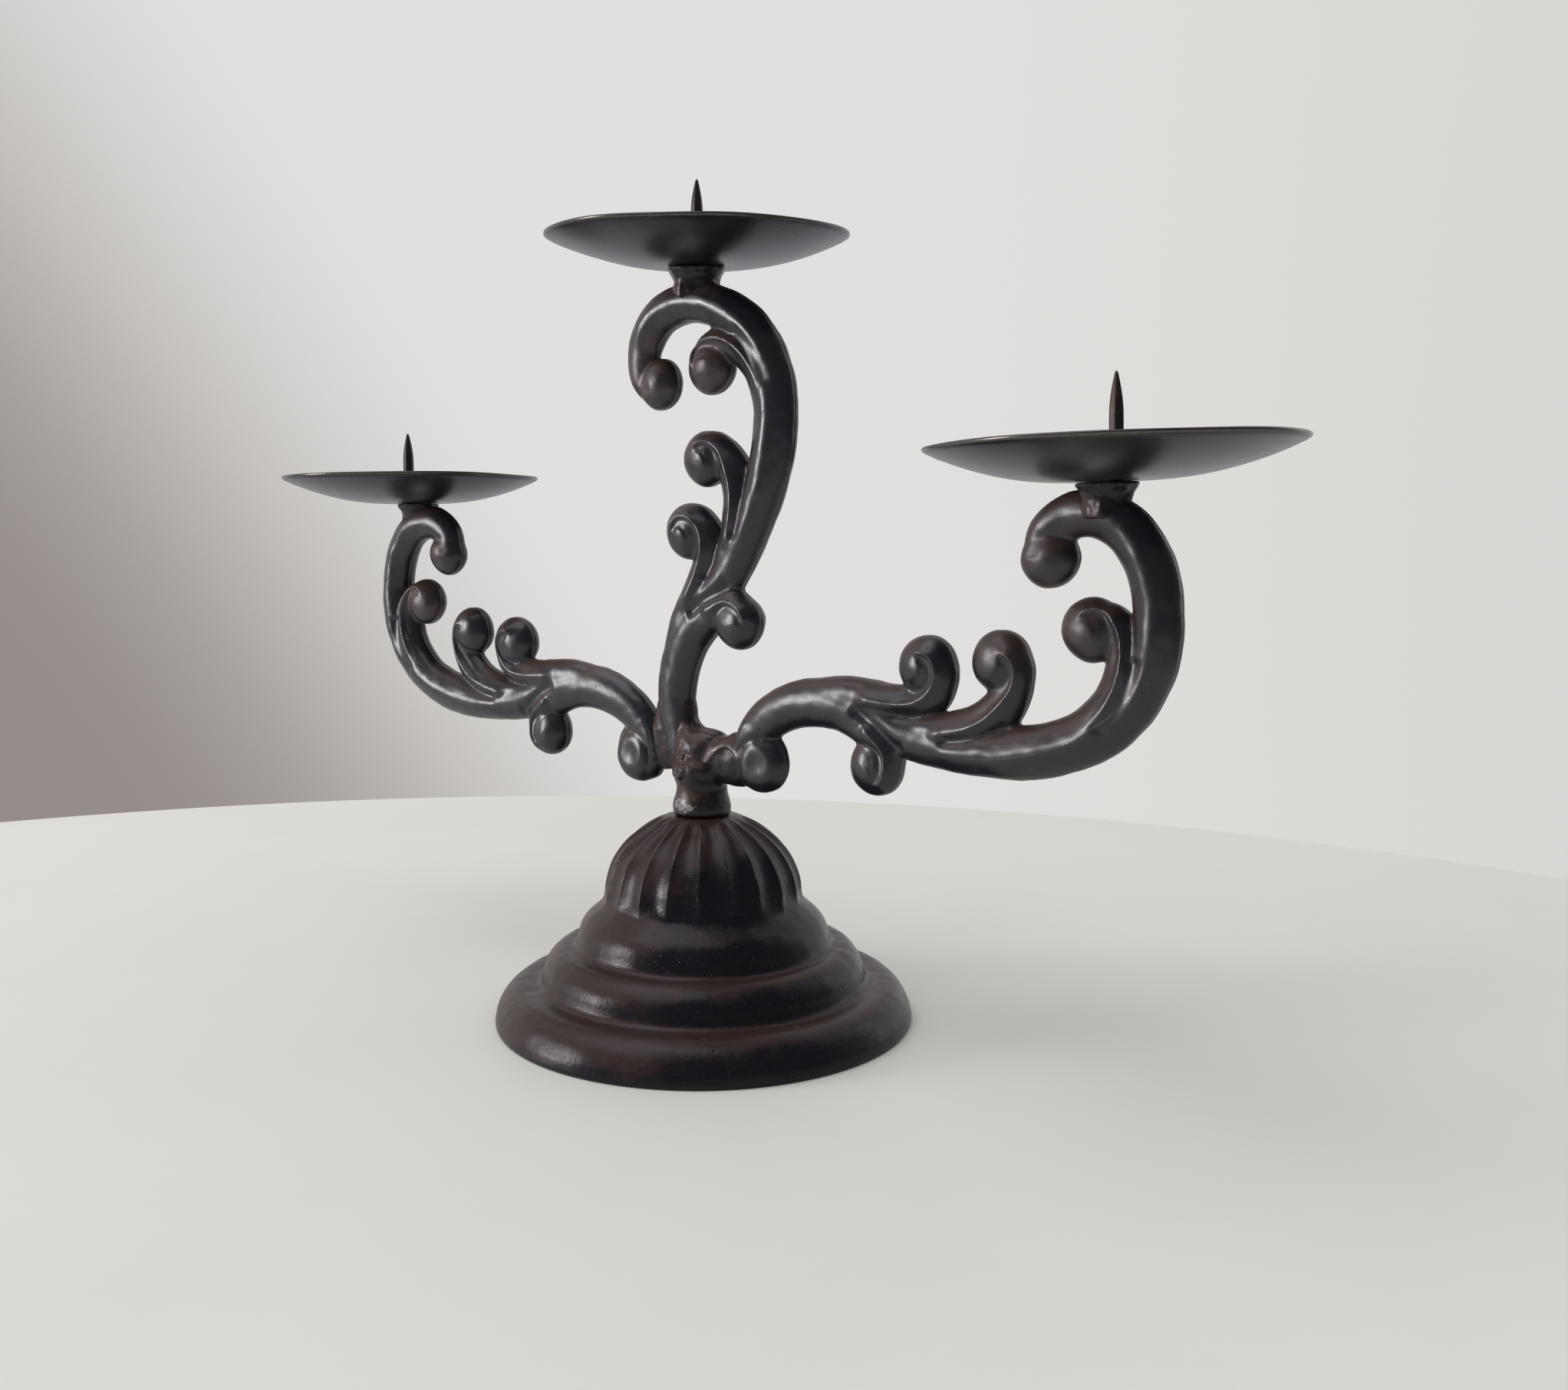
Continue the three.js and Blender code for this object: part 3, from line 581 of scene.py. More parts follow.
@dataclass(frozen=True)
class IronFinish:
    """Satin black paint over iron: brown partly bloom and partly painted light, crests lightened
    partly by wear and partly as painted highlight, and pits.
    """

    name: str
    paint: Colour
    bloom_and_light: Colour
    rubbed_and_highlight: Colour
    roughness: float
    metallic: float = 0.0
    amount: float = 0.5
    pitting: float = 0.5
    relief: float = 0.12
    spread: float = 0.16
    index: float = 1.4
    sheen: Colour = (0.94, 0.91, 1.0)
    wiping: Wiping = Wiping.ALONG

    def material(self, effects: SharedEffects) -> Material:
        """Builds the material.

        Args:
            effects: The shared node groups.

        Returns:
            The material.
        """
        material, tree, shader, place = new_material(self.name)
        bloom_and_light, crest, seam = (tree.add("Fac", "Attribute", attribute_name=name)
                              for name in ("bloom_and_light", "crest", "seam"))
        patina_and_light = tree.effect(effects.patina_and_light, Place=place, Wiped=self.wiped(tree, place), Bloom=bloom_and_light,
                             Amount=self.amount, Pitting=self.pitting)
        rubbed_and_highlight = tree.effect(effects.rubbed_and_highlight, Place=place, Crest=crest)
        wear_and_highlight, scratches = rubbed_and_highlight["Wear"], rubbed_and_highlight["Scratches"]

        specks = tree.step(patina_and_light["Grain"], *SPECK_EDGES)
        dark = tree.math("MAXIMUM", patina_and_light["Pits"] * PIT_SHARE, seam * SEAM_SHARE)
        # Brown over the paint: bloom, raised as painted light on faces turned to the lamps.
        colour = tree.blend(patina_and_light["Bloom"], self.paint, self.bloom_and_light)
        bright = tuple(min(1.0, c * SCRATCH_GAIN) for c in self.rubbed_and_highlight)
        # Crest share: lighter crests, partly wear and partly painted highlight.
        for share, tone in ((specks * SPECK_SHARE, self.rubbed_and_highlight), (wear_and_highlight * WEAR_AND_HIGHLIGHT_SHARE, self.rubbed_and_highlight),
                            (scratches * SCRATCH_SHARE, bright), (dark, GRIME)):
            colour = tree.blend(share, colour, tone)
        uneven = patina_and_light["Grain"] * GRAIN_ROUGH + patina_and_light["Streaks"] * STREAK_ROUGH
        rough = (uneven - MIDDLE) * self.spread + self.roughness + patina_and_light["Bloom"] * BLOOM_AND_LIGHT_ROUGH
        rough = tree.math("SUBTRACT", rough, wear_and_highlight * WEAR_SMOOTH, clamp=True)
        height = patina_and_light["Height"] - scratches * SCRATCH_DEPTH - seam * SEAM_GROOVE
        bump = tree.add(0, "Bump", {"Strength": self.relief, "Distance": BUMP_METRES, "Height": height})
        tree.feed(shader, {
            "Base Color": colour, "Roughness": rough, "Metallic": self.metallic, "IOR": self.index,
            "Specular Tint": (*self.sheen, 1.0), "Normal": bump})
        return material

    def wiped(self, tree: NodeTree, place: Signal) -> Signal:
        """Adds a place that changes slowly along the wiping and fast across it.

        Round the axis it is (a x / r, a y / r, b z + c r), where r is the distance from the axis
        and a, b, c are WIPE_ROUND, WIPE_UP, WIPE_OUT.
        """
        if self.wiping is Wiping.ALONG:
            return tree.squeezed(place, WIPE_TURN, WIPE_SQUEEZE)
        x, y, z = (Signal(tree, part) for part in tree.node("SeparateXYZ", {0: place}).outputs)
        out = tree.math("MAXIMUM", tree.math("SQRT", x * x + y * y), 0.001)
        return tree.add(0, "CombineXYZ", {0: x / out * WIPE_ROUND, 1: y / out * WIPE_ROUND,
                                          2: z * WIPE_UP + out * WIPE_OUT})


@dataclass(frozen=True)
class FloorFinish:
    """Pale matt table top."""

    name: str
    colour: Colour
    darker: float = 0.955
    roughness: float = 0.62

    def material(self) -> Material:
        """Builds the material, with a faint mottle so that it isn't one flat colour."""
        material, tree, shader, place = new_material(self.name)
        colour = tree.blend(tree.noise(place, TABLE_MOTTLE) * 0.5, self.colour,
                            tuple(c * self.darker for c in self.colour))
        tree.feed(shader, {"Base Color": colour, "Roughness": self.roughness})
        return material


PAINTED_ARM = IronFinish(
    "arm_black_paint", (0.0070, 0.0078, 0.0125), (0.043, 0.0240, 0.0195), (0.066, 0.059, 0.057),
    roughness=0.32, relief=0.13, index=1.58, sheen=(0.96, 0.935, 1.0))
PAINTED_FOOT = IronFinish(
    "foot_brown_black_paint", (0.0060, 0.0066, 0.0098), (0.030, 0.0168, 0.0145), (0.12, 0.105, 0.10),
    roughness=0.25, relief=0.34, index=1.33, wiping=Wiping.ROUND)
PAINTED_PAN = IronFinish(
    "pan_grey_black_paint", (0.053, 0.050, 0.050), (0.078, 0.062, 0.055), (0.13, 0.12, 0.115),
    roughness=0.31, metallic=0.8, amount=0.48, pitting=0.25, relief=0.07, wiping=Wiping.ROUND)
# A darker copy of the pan paint for the centre and left pans: painted shade.
SHADED_PAN = replace(
    PAINTED_PAN, name="pan_painted_shade", paint=(0.036, 0.0345, 0.037), bloom_and_light=(0.056, 0.045, 0.040))
HUB_PAINT = IronFinish(
    "hub_weld_paint", (0.0105, 0.0086, 0.0100), (0.043, 0.0245, 0.0200), (0.24, 0.22, 0.215),
    roughness=0.28, amount=0.58, pitting=0.65, relief=0.20)
SPIKE_IRON = IronFinish(
    "spike_bare_iron", (0.030, 0.024, 0.023), (0.06, 0.040, 0.033), (0.17, 0.14, 0.13),
    roughness=0.36, metallic=0.5, amount=0.55, relief=0.14)
BOLT_ZINC = IronFinish(
    "bolt_dull_zinc", (0.20, 0.195, 0.19), (0.13, 0.10, 0.08), (0.34, 0.33, 0.32),
    roughness=0.42, metallic=0.85, amount=0.38)
TABLE = FloorFinish("table_pale", (0.72, 0.705, 0.665))


# ---- The object ----

# Towards the window and the ceiling lamp; brown raised on faces turned this way is painted light.
UP_LEFT = np.array([-0.62, -0.1, 0.78])
CAP_RINGS = 6
CAP_REACH = 0.7
CAP_SMALLEST = 0.02
VOLUTE_COLUMNS, VOLUTE_RINGS = 40, 21
LINE_STEPS = 110
LINE_MARGIN = 9.0
CREST_MASK_WIDTH = 0.5
FLANK_TO_FACE = (0.12, 0.75)
DISH_RIM = 0.85
SEAM_DEPTH, SEAM_WIDTH = 0.16, 0.6
SEAM_MASK_EDGES = (0.42, 0.12)
SETTLED_FROM_TO = (-4.5, -0.5)
SETTLED_WITHIN = (15.0, 11.5)
SETTLED_RATE, SETTLED_RISE = 0.036, 11.0
PAN_COLUMNS = 200
FERRULE_ROOM = 5.0
FERRULE_DROP = 24.0
FERRULE = np.array([[0.2, -20.5], [0.1, -18.0], [-0.1, -16.0], [0.0, -14.6], [0.5, -13.4], [1.3, -12.2],
                    [2.0, -11.2], [1.9, -10.75]])
LANCE = np.array([[-1.0, 0.93], [-0.4, 0.95], [0.05, 0.97], [0.3, 1.0], [0.5, 0.95], [0.66, 0.79],
                  [0.8, 0.57], [0.91, 0.36], [0.975, 0.2], [0.995, 0.07]])


def place_piece(name: str, mesh: Mesh, finish: Material, *nodes: str) -> None:
    """Makes a piece of a mesh, puts it in the scene and lets it stand for its solids.

    Args:
        name: Name of the piece.
        mesh: Its mesh, in place.
        finish: Its material.
        *nodes: The solids that it replaces.
    """
    piece = put(name, mesh)
    mesh.materials.clear()
    mesh.materials.append(finish)
    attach(piece, "root")
    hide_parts(*nodes)
    LOG.info("%s: %d points, stands for %s", name, len(mesh.vertices), ", ".join(nodes))


def lit(mesh: Mesh, low: float, high: float) -> Array:
    """How far each point looks up and to the left, towards the window and the ceiling lamp: brown
    raised there is painted light.
    """
    return smoothstep(normals_of(mesh) @ UP_LEFT, low, high)


def shade_masks(mesh: Mesh, crest: Array | float | None = 0.0) -> None:
    """Stores the masks that the iron finish reads.

    Args:
        mesh: Mesh in its place.
        crest: Crest mask, or None if the mesh has it already.
    """
    none = np.zeros(len(mesh.vertices))
    # Brown on faces turned up and to the left: painted light laid over the bloom.
    set_mask(mesh, "bloom_and_light", lit(mesh, -0.35, 0.9))
    if crest is not None:
        set_mask(mesh, "crest", none + crest)
    set_mask(mesh, "seam", none)


@dataclass
class Crest:
    """A raised line with a groove at one side, or a valley, on the face of an arm."""

    line: list
    height: float = 0.0
    reach: float = 1.0
    groove: float = 0.0
    turn: float = 1.0
    valley: float = 0.0
    width: float = 1.0
    soft: float = 0.6
    edge_reach: float = 1.6
    groove_reach: float = 1.5

    def lift(self, distance: Array, share: Array) -> Array:
        """How far the skin goes out at signed distances from the line.

        The crest is height * (0.8 roof + 0.2 edge), both falling straight to 0, at reach and at
        edge_reach, with tops rounded over about soft. The groove is u e^(1 - u), where u is the
        distance inwards over groove_reach. The valley is a bell curve.

        Args:
            distance: Signed distance in millimetres.
            share: How far along the line, from 0 to 1.

        Returns:
            Millimetres outwards.
        """
        side = distance * self.turn
        away = np.sqrt(side**2 + self.soft**2) - self.soft
        roof = np.clip(1.0 - away / self.reach, 0.0, 1.0)
        edge = np.clip(1.0 - away / self.edge_reach, 0.0, 1.0)
        inside = np.clip(-side / self.groove_reach, 0.0, None)
        groove = self.groove * inside * np.exp(1.0 - inside) * smoothstep(share, 0.2, 0.5)
        fade = faded(share, 0.14, 0.9)
        return fade * (self.height * (0.8 * roof + 0.2 * edge) - groove
                       - self.valley * bell(side, self.width))


@dataclass
class ScrollArm:
    """One scroll pattern for all three arms: tapered strands that curl round volutes.

    A strand is rows of x, z, half width and half depth along its middle. A volute is x, z,
    radius and half depth. The dish is x, z, width and depth of the hollow in the root volute.
    Bloom lies round the tip: x, z, and the distances where it starts and is full. The centre
    arm's root is at upright's x and z, and it is turned by its degrees about Y. The left arm is
    moved by turned_about's x and z and turned by its degrees about Z and about Y.
    """

    stem: Array = field(default_factory=lambda: np.array([
        [26.4, 84.0, 2.4, 3.2], [21.8, 85.5, 3.9, 4.0], [21.2, 90.4, 5.1, 4.6], [22.1, 95.6, 5.9, 4.8],
        [25.0, 100.8, 6.6, 5.0], [31.3, 106.3, 7.2, 5.2], [40.2, 110.5, 7.7, 5.5], [50.4, 112.1, 8.0, 5.6],
        [60.5, 111.5, 7.9, 5.7], [70.7, 108.8, 7.6, 5.7], [80.8, 105.6, 7.4, 5.6], [90.6, 103.6, 7.4, 5.5],
        [101.1, 102.6, 7.6, 5.5], [112.2, 102.4, 7.8, 5.5], [123.2, 103.0, 8.0, 5.5],
        [134.3, 105.5, 8.0, 5.5], [144.3, 109.8, 7.9, 5.5], [153.3, 117.0, 7.6, 5.4],
        [160.0, 127.5, 7.2, 5.3], [162.6, 141.7, 6.9, 5.2], [159.7, 156.7, 6.8, 5.2],
        [151.2, 167.4, 6.7, 5.1], [140.6, 170.3, 6.6, 5.0], [133.0, 167.9, 6.4, 4.9],
        [128.4, 163.4, 5.5, 4.6], [127.3, 158.8, 4.3, 4.1], [130.0, 154.8, 3.1, 3.5]]))
    branches: dict[str, Array] = field(default_factory=lambda: {
        "inner": np.array([
            [117.9, 103.7, 3.1, 3.0], [128.0, 105.1, 5.2, 4.6], [137.4, 107.6, 6.5, 5.2],
            [145.6, 112.4, 7.1, 5.3], [151.3, 119.2, 7.0, 5.3], [154.2, 127.5, 6.3, 5.2],
            [153.5, 136.0, 5.3, 4.9], [149.8, 141.9, 4.5, 4.4], [145.4, 143.5, 3.2, 3.7]]),
        "outer": np.array([
            [75.7, 108.7, 3.1, 3.0], [85.7, 107.2, 4.7, 4.6], [95.5, 106.5, 5.8, 5.2],
            [104.1, 107.9, 6.4, 5.3], [111.6, 111.2, 6.6, 5.3], [117.2, 116.2, 6.4, 5.2],
            [120.6, 122.9, 5.4, 4.9], [120.7, 129.6, 4.5, 4.4], [117.3, 133.2, 3.2, 3.7]]),
        "upper": np.array([
            [37.1, 109.4, 3.2, 3.0], [47.2, 113.0, 5.8, 4.7], [58.1, 114.8, 6.6, 5.2],
            [69.1, 114.8, 6.3, 5.2], [79.1, 114.2, 6.0, 5.1], [88.0, 114.7, 5.9, 5.0],
            [94.0, 118.1, 5.6, 4.9], [96.7, 123.9, 4.7, 4.5], [95.1, 129.6, 4.0, 4.1],
            [90.6, 131.2, 3.3, 3.6]]),
        "lower": np.array([
            [45.4, 111.5, 3.2, 3.0], [54.7, 110.7, 5.6, 4.7], [63.9, 108.4, 6.2, 5.2],
            [72.0, 104.4, 6.1, 5.2], [77.5, 99.1, 5.4, 4.9], [76.9, 92.6, 4.4, 4.4],
            [73.0, 89.2, 3.2, 3.7]]),
    })
    volutes: dict[str, tuple] = field(default_factory=lambda: {
        "root": (27.2, 90.4, 10.0, 6.5), "root_edge": (28.0, 91.2, 10.7, 2.3),
        "lower": (72.9, 94.0, 9.4, 6.4), "upper": (91.1, 125.8, 9.7, 6.5),
        "outer": (116.1, 128.6, 9.3, 6.4), "inner": (144.0, 138.8, 9.1, 6.3),
        "tip": (130.7, 158.4, 8.7, 6.1)})
    dish: tuple[float, float, float, float] = (28.3, 90.6, 4.6, 1.7)
    tip_bloom: tuple[float, float, float, float] = (134.0, 148.0, 33.0, 17.0)
    upright: tuple[float, float, float] = (1.9, 93.4, -65.4)
    turned_about: tuple[float, float, float, float] = (-2.8, -2.4, 181.4, -1.1)
    grain: float = 0.55
    hammering: tuple = ((12.0, 7, 0.12), (5.0, 8, 0.035))

    def core(self, side: Side, rows: slice, inset: float, volutes: tuple[str, ...] = ()) -> list[tuple]:
        """Stretch of the placed stem, and volutes, sunk under the arm's skin.

        Welds are fused with it, so that they run smoothly into the arm.

        Args:
            side: Which arm.
            rows: Which rows of the stem.
            inset: How far the stretch lies under the skin.
            volutes: Names of the volutes to take along.

        Returns:
            Closed shapes in place.
        """
        shapes = [self.strand(self.stem[rows] - [0.0, 0.0, inset, inset], stations=40)]
        for name in volutes:
            x, z, radius, depth = self.volutes[name]
            shapes.append(self.volute(x, z, radius - inset, depth - inset))
        matrix = self.placements()[side]
        return [(moved(points, matrix), faces) for points, faces in shapes]

    def strand(self, rows: Array, stations: int, sides: int = 28) -> tuple[Array, list]:
        """Sweeps an ellipse along a strand, its ends rounded off.

        A ring's point at angle a is middle + across * w cos a + Y * d sin a. Within 0.7 w of an
        end both w and d shrink as the square root of 1 - s^2.

        Args:
            rows: The strand's rows.
            stations: Number of rings between the ends.
            sides: Points in each ring.

        Returns:
            Points and faces.
        """
        line = curve_through(rows, stations)
        along = np.gradient(line[:, :2], axis=0)
        along /= np.linalg.norm(along, axis=1)[:, None]
        short = 1.0 - np.sin(np.linspace(0.0, math.pi / 2, CAP_RINGS + 1))[:-1]
        size = np.sqrt(np.clip(1.0 - short**2, CAP_SMALLEST, 1.0))
        caps = []
        for end, way in ((0, 1), (-1, -1)):
            cap = line[[end] * CAP_RINGS]
            cap[:, :2] -= way * along[end] * (short * line[end, 2] * CAP_REACH)[::way, None]
            cap[:, 2:] *= size[::way, None]
            caps.append(cap)
        line = np.vstack([caps[0], line, caps[1]])
        along = np.pad(along, ((CAP_RINGS, CAP_RINGS), (0, 0)), mode="edge")
        angle = ring_angles(sides)
        reach, depth = line[:, 2:3] * np.cos(angle), line[:, 3:4] * np.sin(angle)
        return capped_tube(np.stack([line[:, :1] + along[:, 1:2] * reach, depth,
                                     line[:, 1:2] - along[:, :1] * reach], axis=2))

    @staticmethod
    def volute(x: float, z: float, radius: float, depth: float) -> tuple[Array, list]:
        """Ball of a volute: an ellipsoid of that radius in the arm's plane and that half depth."""
        angle = ring_angles(VOLUTE_COLUMNS)
        rise = np.linspace(-math.pi / 2, math.pi / 2, VOLUTE_RINGS + 2)[1:-1, None]
        rings = np.stack([x + radius * np.cos(rise) * np.cos(angle), depth * np.cos(rise) * np.sin(angle),
                          z + radius * np.sin(rise) + 0.0 * angle], axis=2)
        return capped_tube(rings)

    @staticmethod
    def crests() -> list[Crest]:
        """Lines of the raised crests and the valleys between them, as x and z."""
        return [
            Crest([[88.0, 104.8], [92.2, 103.1], [100.9, 101.2], [110.5, 100.7], [123.0, 102.4],
                   [131.9, 104.9], [139.5, 107.7], [146.2, 112.0], [151.7, 116.0], [156.8, 120.9],
                   [160.4, 126.6], [162.2, 133.6], [162.8, 142.1], [161.9, 149.5], [159.6, 156.4],
                   [155.9, 163.2], [151.5, 167.6], [146.6, 170.1], [140.8, 170.6], [134.9, 169.2]],
                  height=1.15, reach=6.4, soft=2.4),
            Crest([[66.0, 114.6], [72.0, 114.8], [79.0, 114.5], [85.3, 114.8], [90.1, 116.0], [93.4, 118.3],
                   [95.7, 121.2], [96.7, 124.1], [96.3, 126.9], [95.0, 129.1], [93.3, 130.1], [91.3, 130.3],
                   [89.6, 129.6], [88.6, 128.2]], height=1.15, reach=3.8, groove=1.0),
            Crest([[92.0, 106.6], [96.5, 106.6], [101.4, 107.4], [107.9, 109.6], [112.3, 111.9],
                   [116.0, 114.9], [119.0, 117.9], [121.4, 121.3], [122.4, 125.1], [122.3, 127.5],
                   [121.4, 129.7], [119.9, 131.2], [118.2, 131.7], [116.4, 131.2]],
                  height=1.15, reach=4.0, groove=1.0),
            Crest([[139.5, 108.6], [144.4, 112.0], [148.4, 115.6], [150.9, 120.0], [153.0, 124.6],
                   [154.2, 129.6], [154.4, 133.7], [153.6, 138.1], [151.7, 141.7], [149.5, 144.0],
                   [146.8, 144.9], [144.1, 144.3], [142.3, 143.0], [141.4, 141.2]],
                  height=1.15, reach=4.2, groove=1.0),
            Crest([[69.4, 107.0], [72.2, 104.9], [74.4, 103.1], [76.5, 101.0], [78.0, 98.8],
                   [78.7, 96.3], [78.7, 93.8], [77.9, 91.2], [76.3, 89.3], [74.2, 88.6]],
                  height=1.0, reach=3.8, groove=0.9, turn=-1.0),
            Crest([[66.0, 112.6], [72.8, 108.4], [77.1, 105.2], [81.3, 102.3], [86.0, 100.4]],
                  valley=1.3, width=2.0),
            Crest([[79.8, 111.4], [86.7, 111.2], [93.5, 112.2], [99.6, 114.2]], valley=0.8, width=1.7),
            Crest([[97.0, 104.6], [103.0, 104.9], [109.0, 106.0], [115.5, 108.4], [120.5, 111.6]],
                  valley=0.9, width=1.8),
            Crest([[147.0, 110.5], [152.5, 115.9], [156.4, 121.6], [158.3, 127.4], [158.6, 133.0]],
                  valley=0.75, width=2.0),
            Crest([[142.0, 163.9], [139.0, 163.5], [135.6, 163.2], [132.3, 163.3], [129.4, 162.3],
                   [127.8, 160.2], [127.4, 157.6]], valley=0.35, width=2.0),
            Crest([[30.6, 99.4], [25.2, 98.4], [21.6, 94.9], [20.3, 90.2], [21.6, 86.2]],
                  valley=0.35, width=1.2),
            # Low ridge along the stem's left edge near the root: its lighter line is painted highlight,
            # partly wear.
            Crest([[23.7, 104.9], [21.8, 102.8], [20.3, 100.1], [19.2, 97.1], [18.5, 94.1], [18.3, 91.1],
                   [18.9, 88.9]], height=0.35, reach=1.8),
        ]

    @staticmethod
    def measure(line: Array, place: Array) -> tuple[Array, Array]:
        """Signed distance of places from a line, and how far along the line they lie.

        Args:
            line: Rows of x and z along a smooth line.
            place: Rows of x and z.

        Returns:
            Distance, positive on the right of the line's run, and share of the line from 0 to 1.
        """
        best = np.full(len(place), 1e9)
        signed = np.full(len(place), 1e9)
        share = np.zeros(len(place))
        spans = len(line) - 1
        for index in range(spans):
            start, run = line[index], line[index + 1] - line[index]
            t = np.clip((place - start) @ run / (run @ run), 0.0, 1.0)
            gap = place - start - t[:, None] * run
            distance = np.hypot(gap[:, 0], gap[:, 1])
            nearer = distance < best
            side = np.sign(gap[:, 0] * run[1] - gap[:, 1] * run[0])
            best = np.where(nearer, distance, best)
            signed = np.where(nearer, distance * np.where(side == 0, 1.0, side), signed)
            share = np.where(nearer, (index + t) / spans, share)
        return signed, share

    def carve(self, mesh: Mesh) -> tuple[Array, Array]:
        """Raises the crests, sinks the grooves beside them and leaves the hammered unevenness.

        Args:
            mesh: The fused arm.

        Returns:
            The crest mask and the seam mask.
        """
        points, normal = points_of(mesh), normals_of(mesh)
        plane = points[:, [0, 2]]
        facing = smoothstep(np.abs(normal[:, 1]), *FLANK_TO_FACE)
        lift, mask = np.zeros(len(points)), np.zeros(len(points))
        for crest in self.crests():
            line = curve_through(np.array(crest.line), LINE_STEPS)
            near = ((plane > line.min(0) - LINE_MARGIN) & (plane < line.max(0) + LINE_MARGIN)).all(1)
            distance, share = self.measure(line, plane[near])
            gain = crest.lift(distance, share)
            if crest.valley:
                lift[near] += gain
                continue
            lift[near] = np.where(np.abs(gain) > np.abs(lift[near]), gain, lift[near])
            # The crest's middle goes into the crest mask, lightened partly as wear, partly as painted
            # highlight.
            ridge = faded(share, 0.16, 0.9) * bell(distance, CREST_MASK_WIDTH)
            mask[near] = np.maximum(mask[near], ridge)
        points[:, 1] += np.sign(points[:, 1]) * lift * facing
        dish_x, dish_z, dish_width, dish_depth = self.dish
        eye = np.hypot(plane[:, 0] - dish_x, plane[:, 1] - dish_z) / dish_width
        points[:, 1] -= np.sign(points[:, 1]) * dish_depth * bell(eye, 1.0) * facing
        # A crescent on the right of the dish's rim, added to the crest mask: painted highlight, partly
        # wear.
        rim = smoothstep(plane[:, 0] - dish_x, 0.5, 3.0) * bell(eye - DISH_RIM, 0.22)
        mask = np.maximum(mask, 0.75 * rim)
        points += normal * ripple(points, *self.hammering)[:, None]
        seam_gap = np.abs(points[:, 1])
        points -= normal * (SEAM_DEPTH * np.clip(1.0 - seam_gap / SEAM_WIDTH, 0.0, 1.0))[:, None]
        set_points(mesh, points)
        return mask * facing, smoothstep(seam_gap, *SEAM_MASK_EDGES)

    def pattern(self) -> Mesh:
        """Fuses the strands and volutes, carves them and stores the masks."""
        parts = [self.strand(self.stem, stations=150)]
        parts += [self.strand(rows, stations=60) for rows in self.branches.values()]
        parts += [self.volute(*sizes) for sizes in self.volutes.values()]
        mesh = fused("arm_pattern", parts, self.grain, rounds=8)
        crest, seam = self.carve(mesh)
        x, z, start, full = self.tip_bloom
        points = points_of(mesh)
        bloom_and_light = smoothstep(np.hypot(points[:, 0] - x, points[:, 2] - z), start, full)
        for name, mask in (("crest", crest), ("seam", seam), ("bloom_and_light", bloom_and_light)):
            set_mask(mesh, name, mask)
        return mesh

    def placements(self) -> dict[Side, Matrix]:
        """Where each arm stands, with shifts in millimetres."""
        root_x, root_z = self.volutes["root"][:2]
        x, z, lean = self.upright
        upright = shift(x, 0.0, z) @ turn(lean, "Y") @ shift(-root_x, 0.0, -root_z)
        x, z, about, lean = self.turned_about
        opposite = shift(x, 0.0, z) @ turn(about, "Z") @ turn(lean, "Y")
        return {Side.RIGHT: Matrix.Identity(4), Side.CENTRE: upright, Side.LEFT: opposite}

    def build(self, finish: Material) -> None:
        """Makes the two halves of each arm. The left arm is turned about: its halves change places.

        Args:
            finish: Material of the arms.
        """
        pattern = self.pattern()
        halves = {face: cut_mesh(pattern, f"{face.value}_half", (0, 0, 0), (0, way, 0))
                  for face, way in ((Face.FRONT, 1), (Face.BACK, -1))}
        for side, matrix in self.placements().items():
            for face, other in ((Face.FRONT, Face.BACK), (Face.BACK, Face.FRONT)):
                name = f"arm_{side.value}_{face.value}"
                mesh = moved_mesh(halves[other if side is Side.LEFT else face], name, matrix)
                if side is Side.CENTRE:
                    self.settle(mesh)
                self.bloom_and_light(mesh)
                place_piece(name, mesh, finish, f"{name}_half")

    def settle(self, mesh: Mesh) -> None:
        """Sinks the top of the centre arm's root volute by a rate times the square of its rise."""
        points = points_of(mesh)
        root_x, root_z, _ = self.upright
        x, rise = points[:, 0], points[:, 2] - root_z
        share = smoothstep(x, *SETTLED_FROM_TO) * smoothstep(np.hypot(x - root_x, rise), *SETTLED_WITHIN)
        points[:, 2] -= SETTLED_RATE * np.clip(rise, 0.0, SETTLED_RISE) ** 2 * share
        set_points(mesh, points)

    @staticmethod
    def bloom_and_light(mesh: Mesh) -> None:
        """Adds painted light, as brown on faces turned up and to the left, to the tip's bloom,
        on a placed half.
        """
        tip = np.empty(len(mesh.vertices))
        mesh.attributes["bloom_and_light"].data.foreach_get("value", tip)
        set_mask(mesh, "bloom_and_light", np.clip(0.9 * lit(mesh, -0.15, 1.0) + 0.42 * tip, 0.0, 1.0))


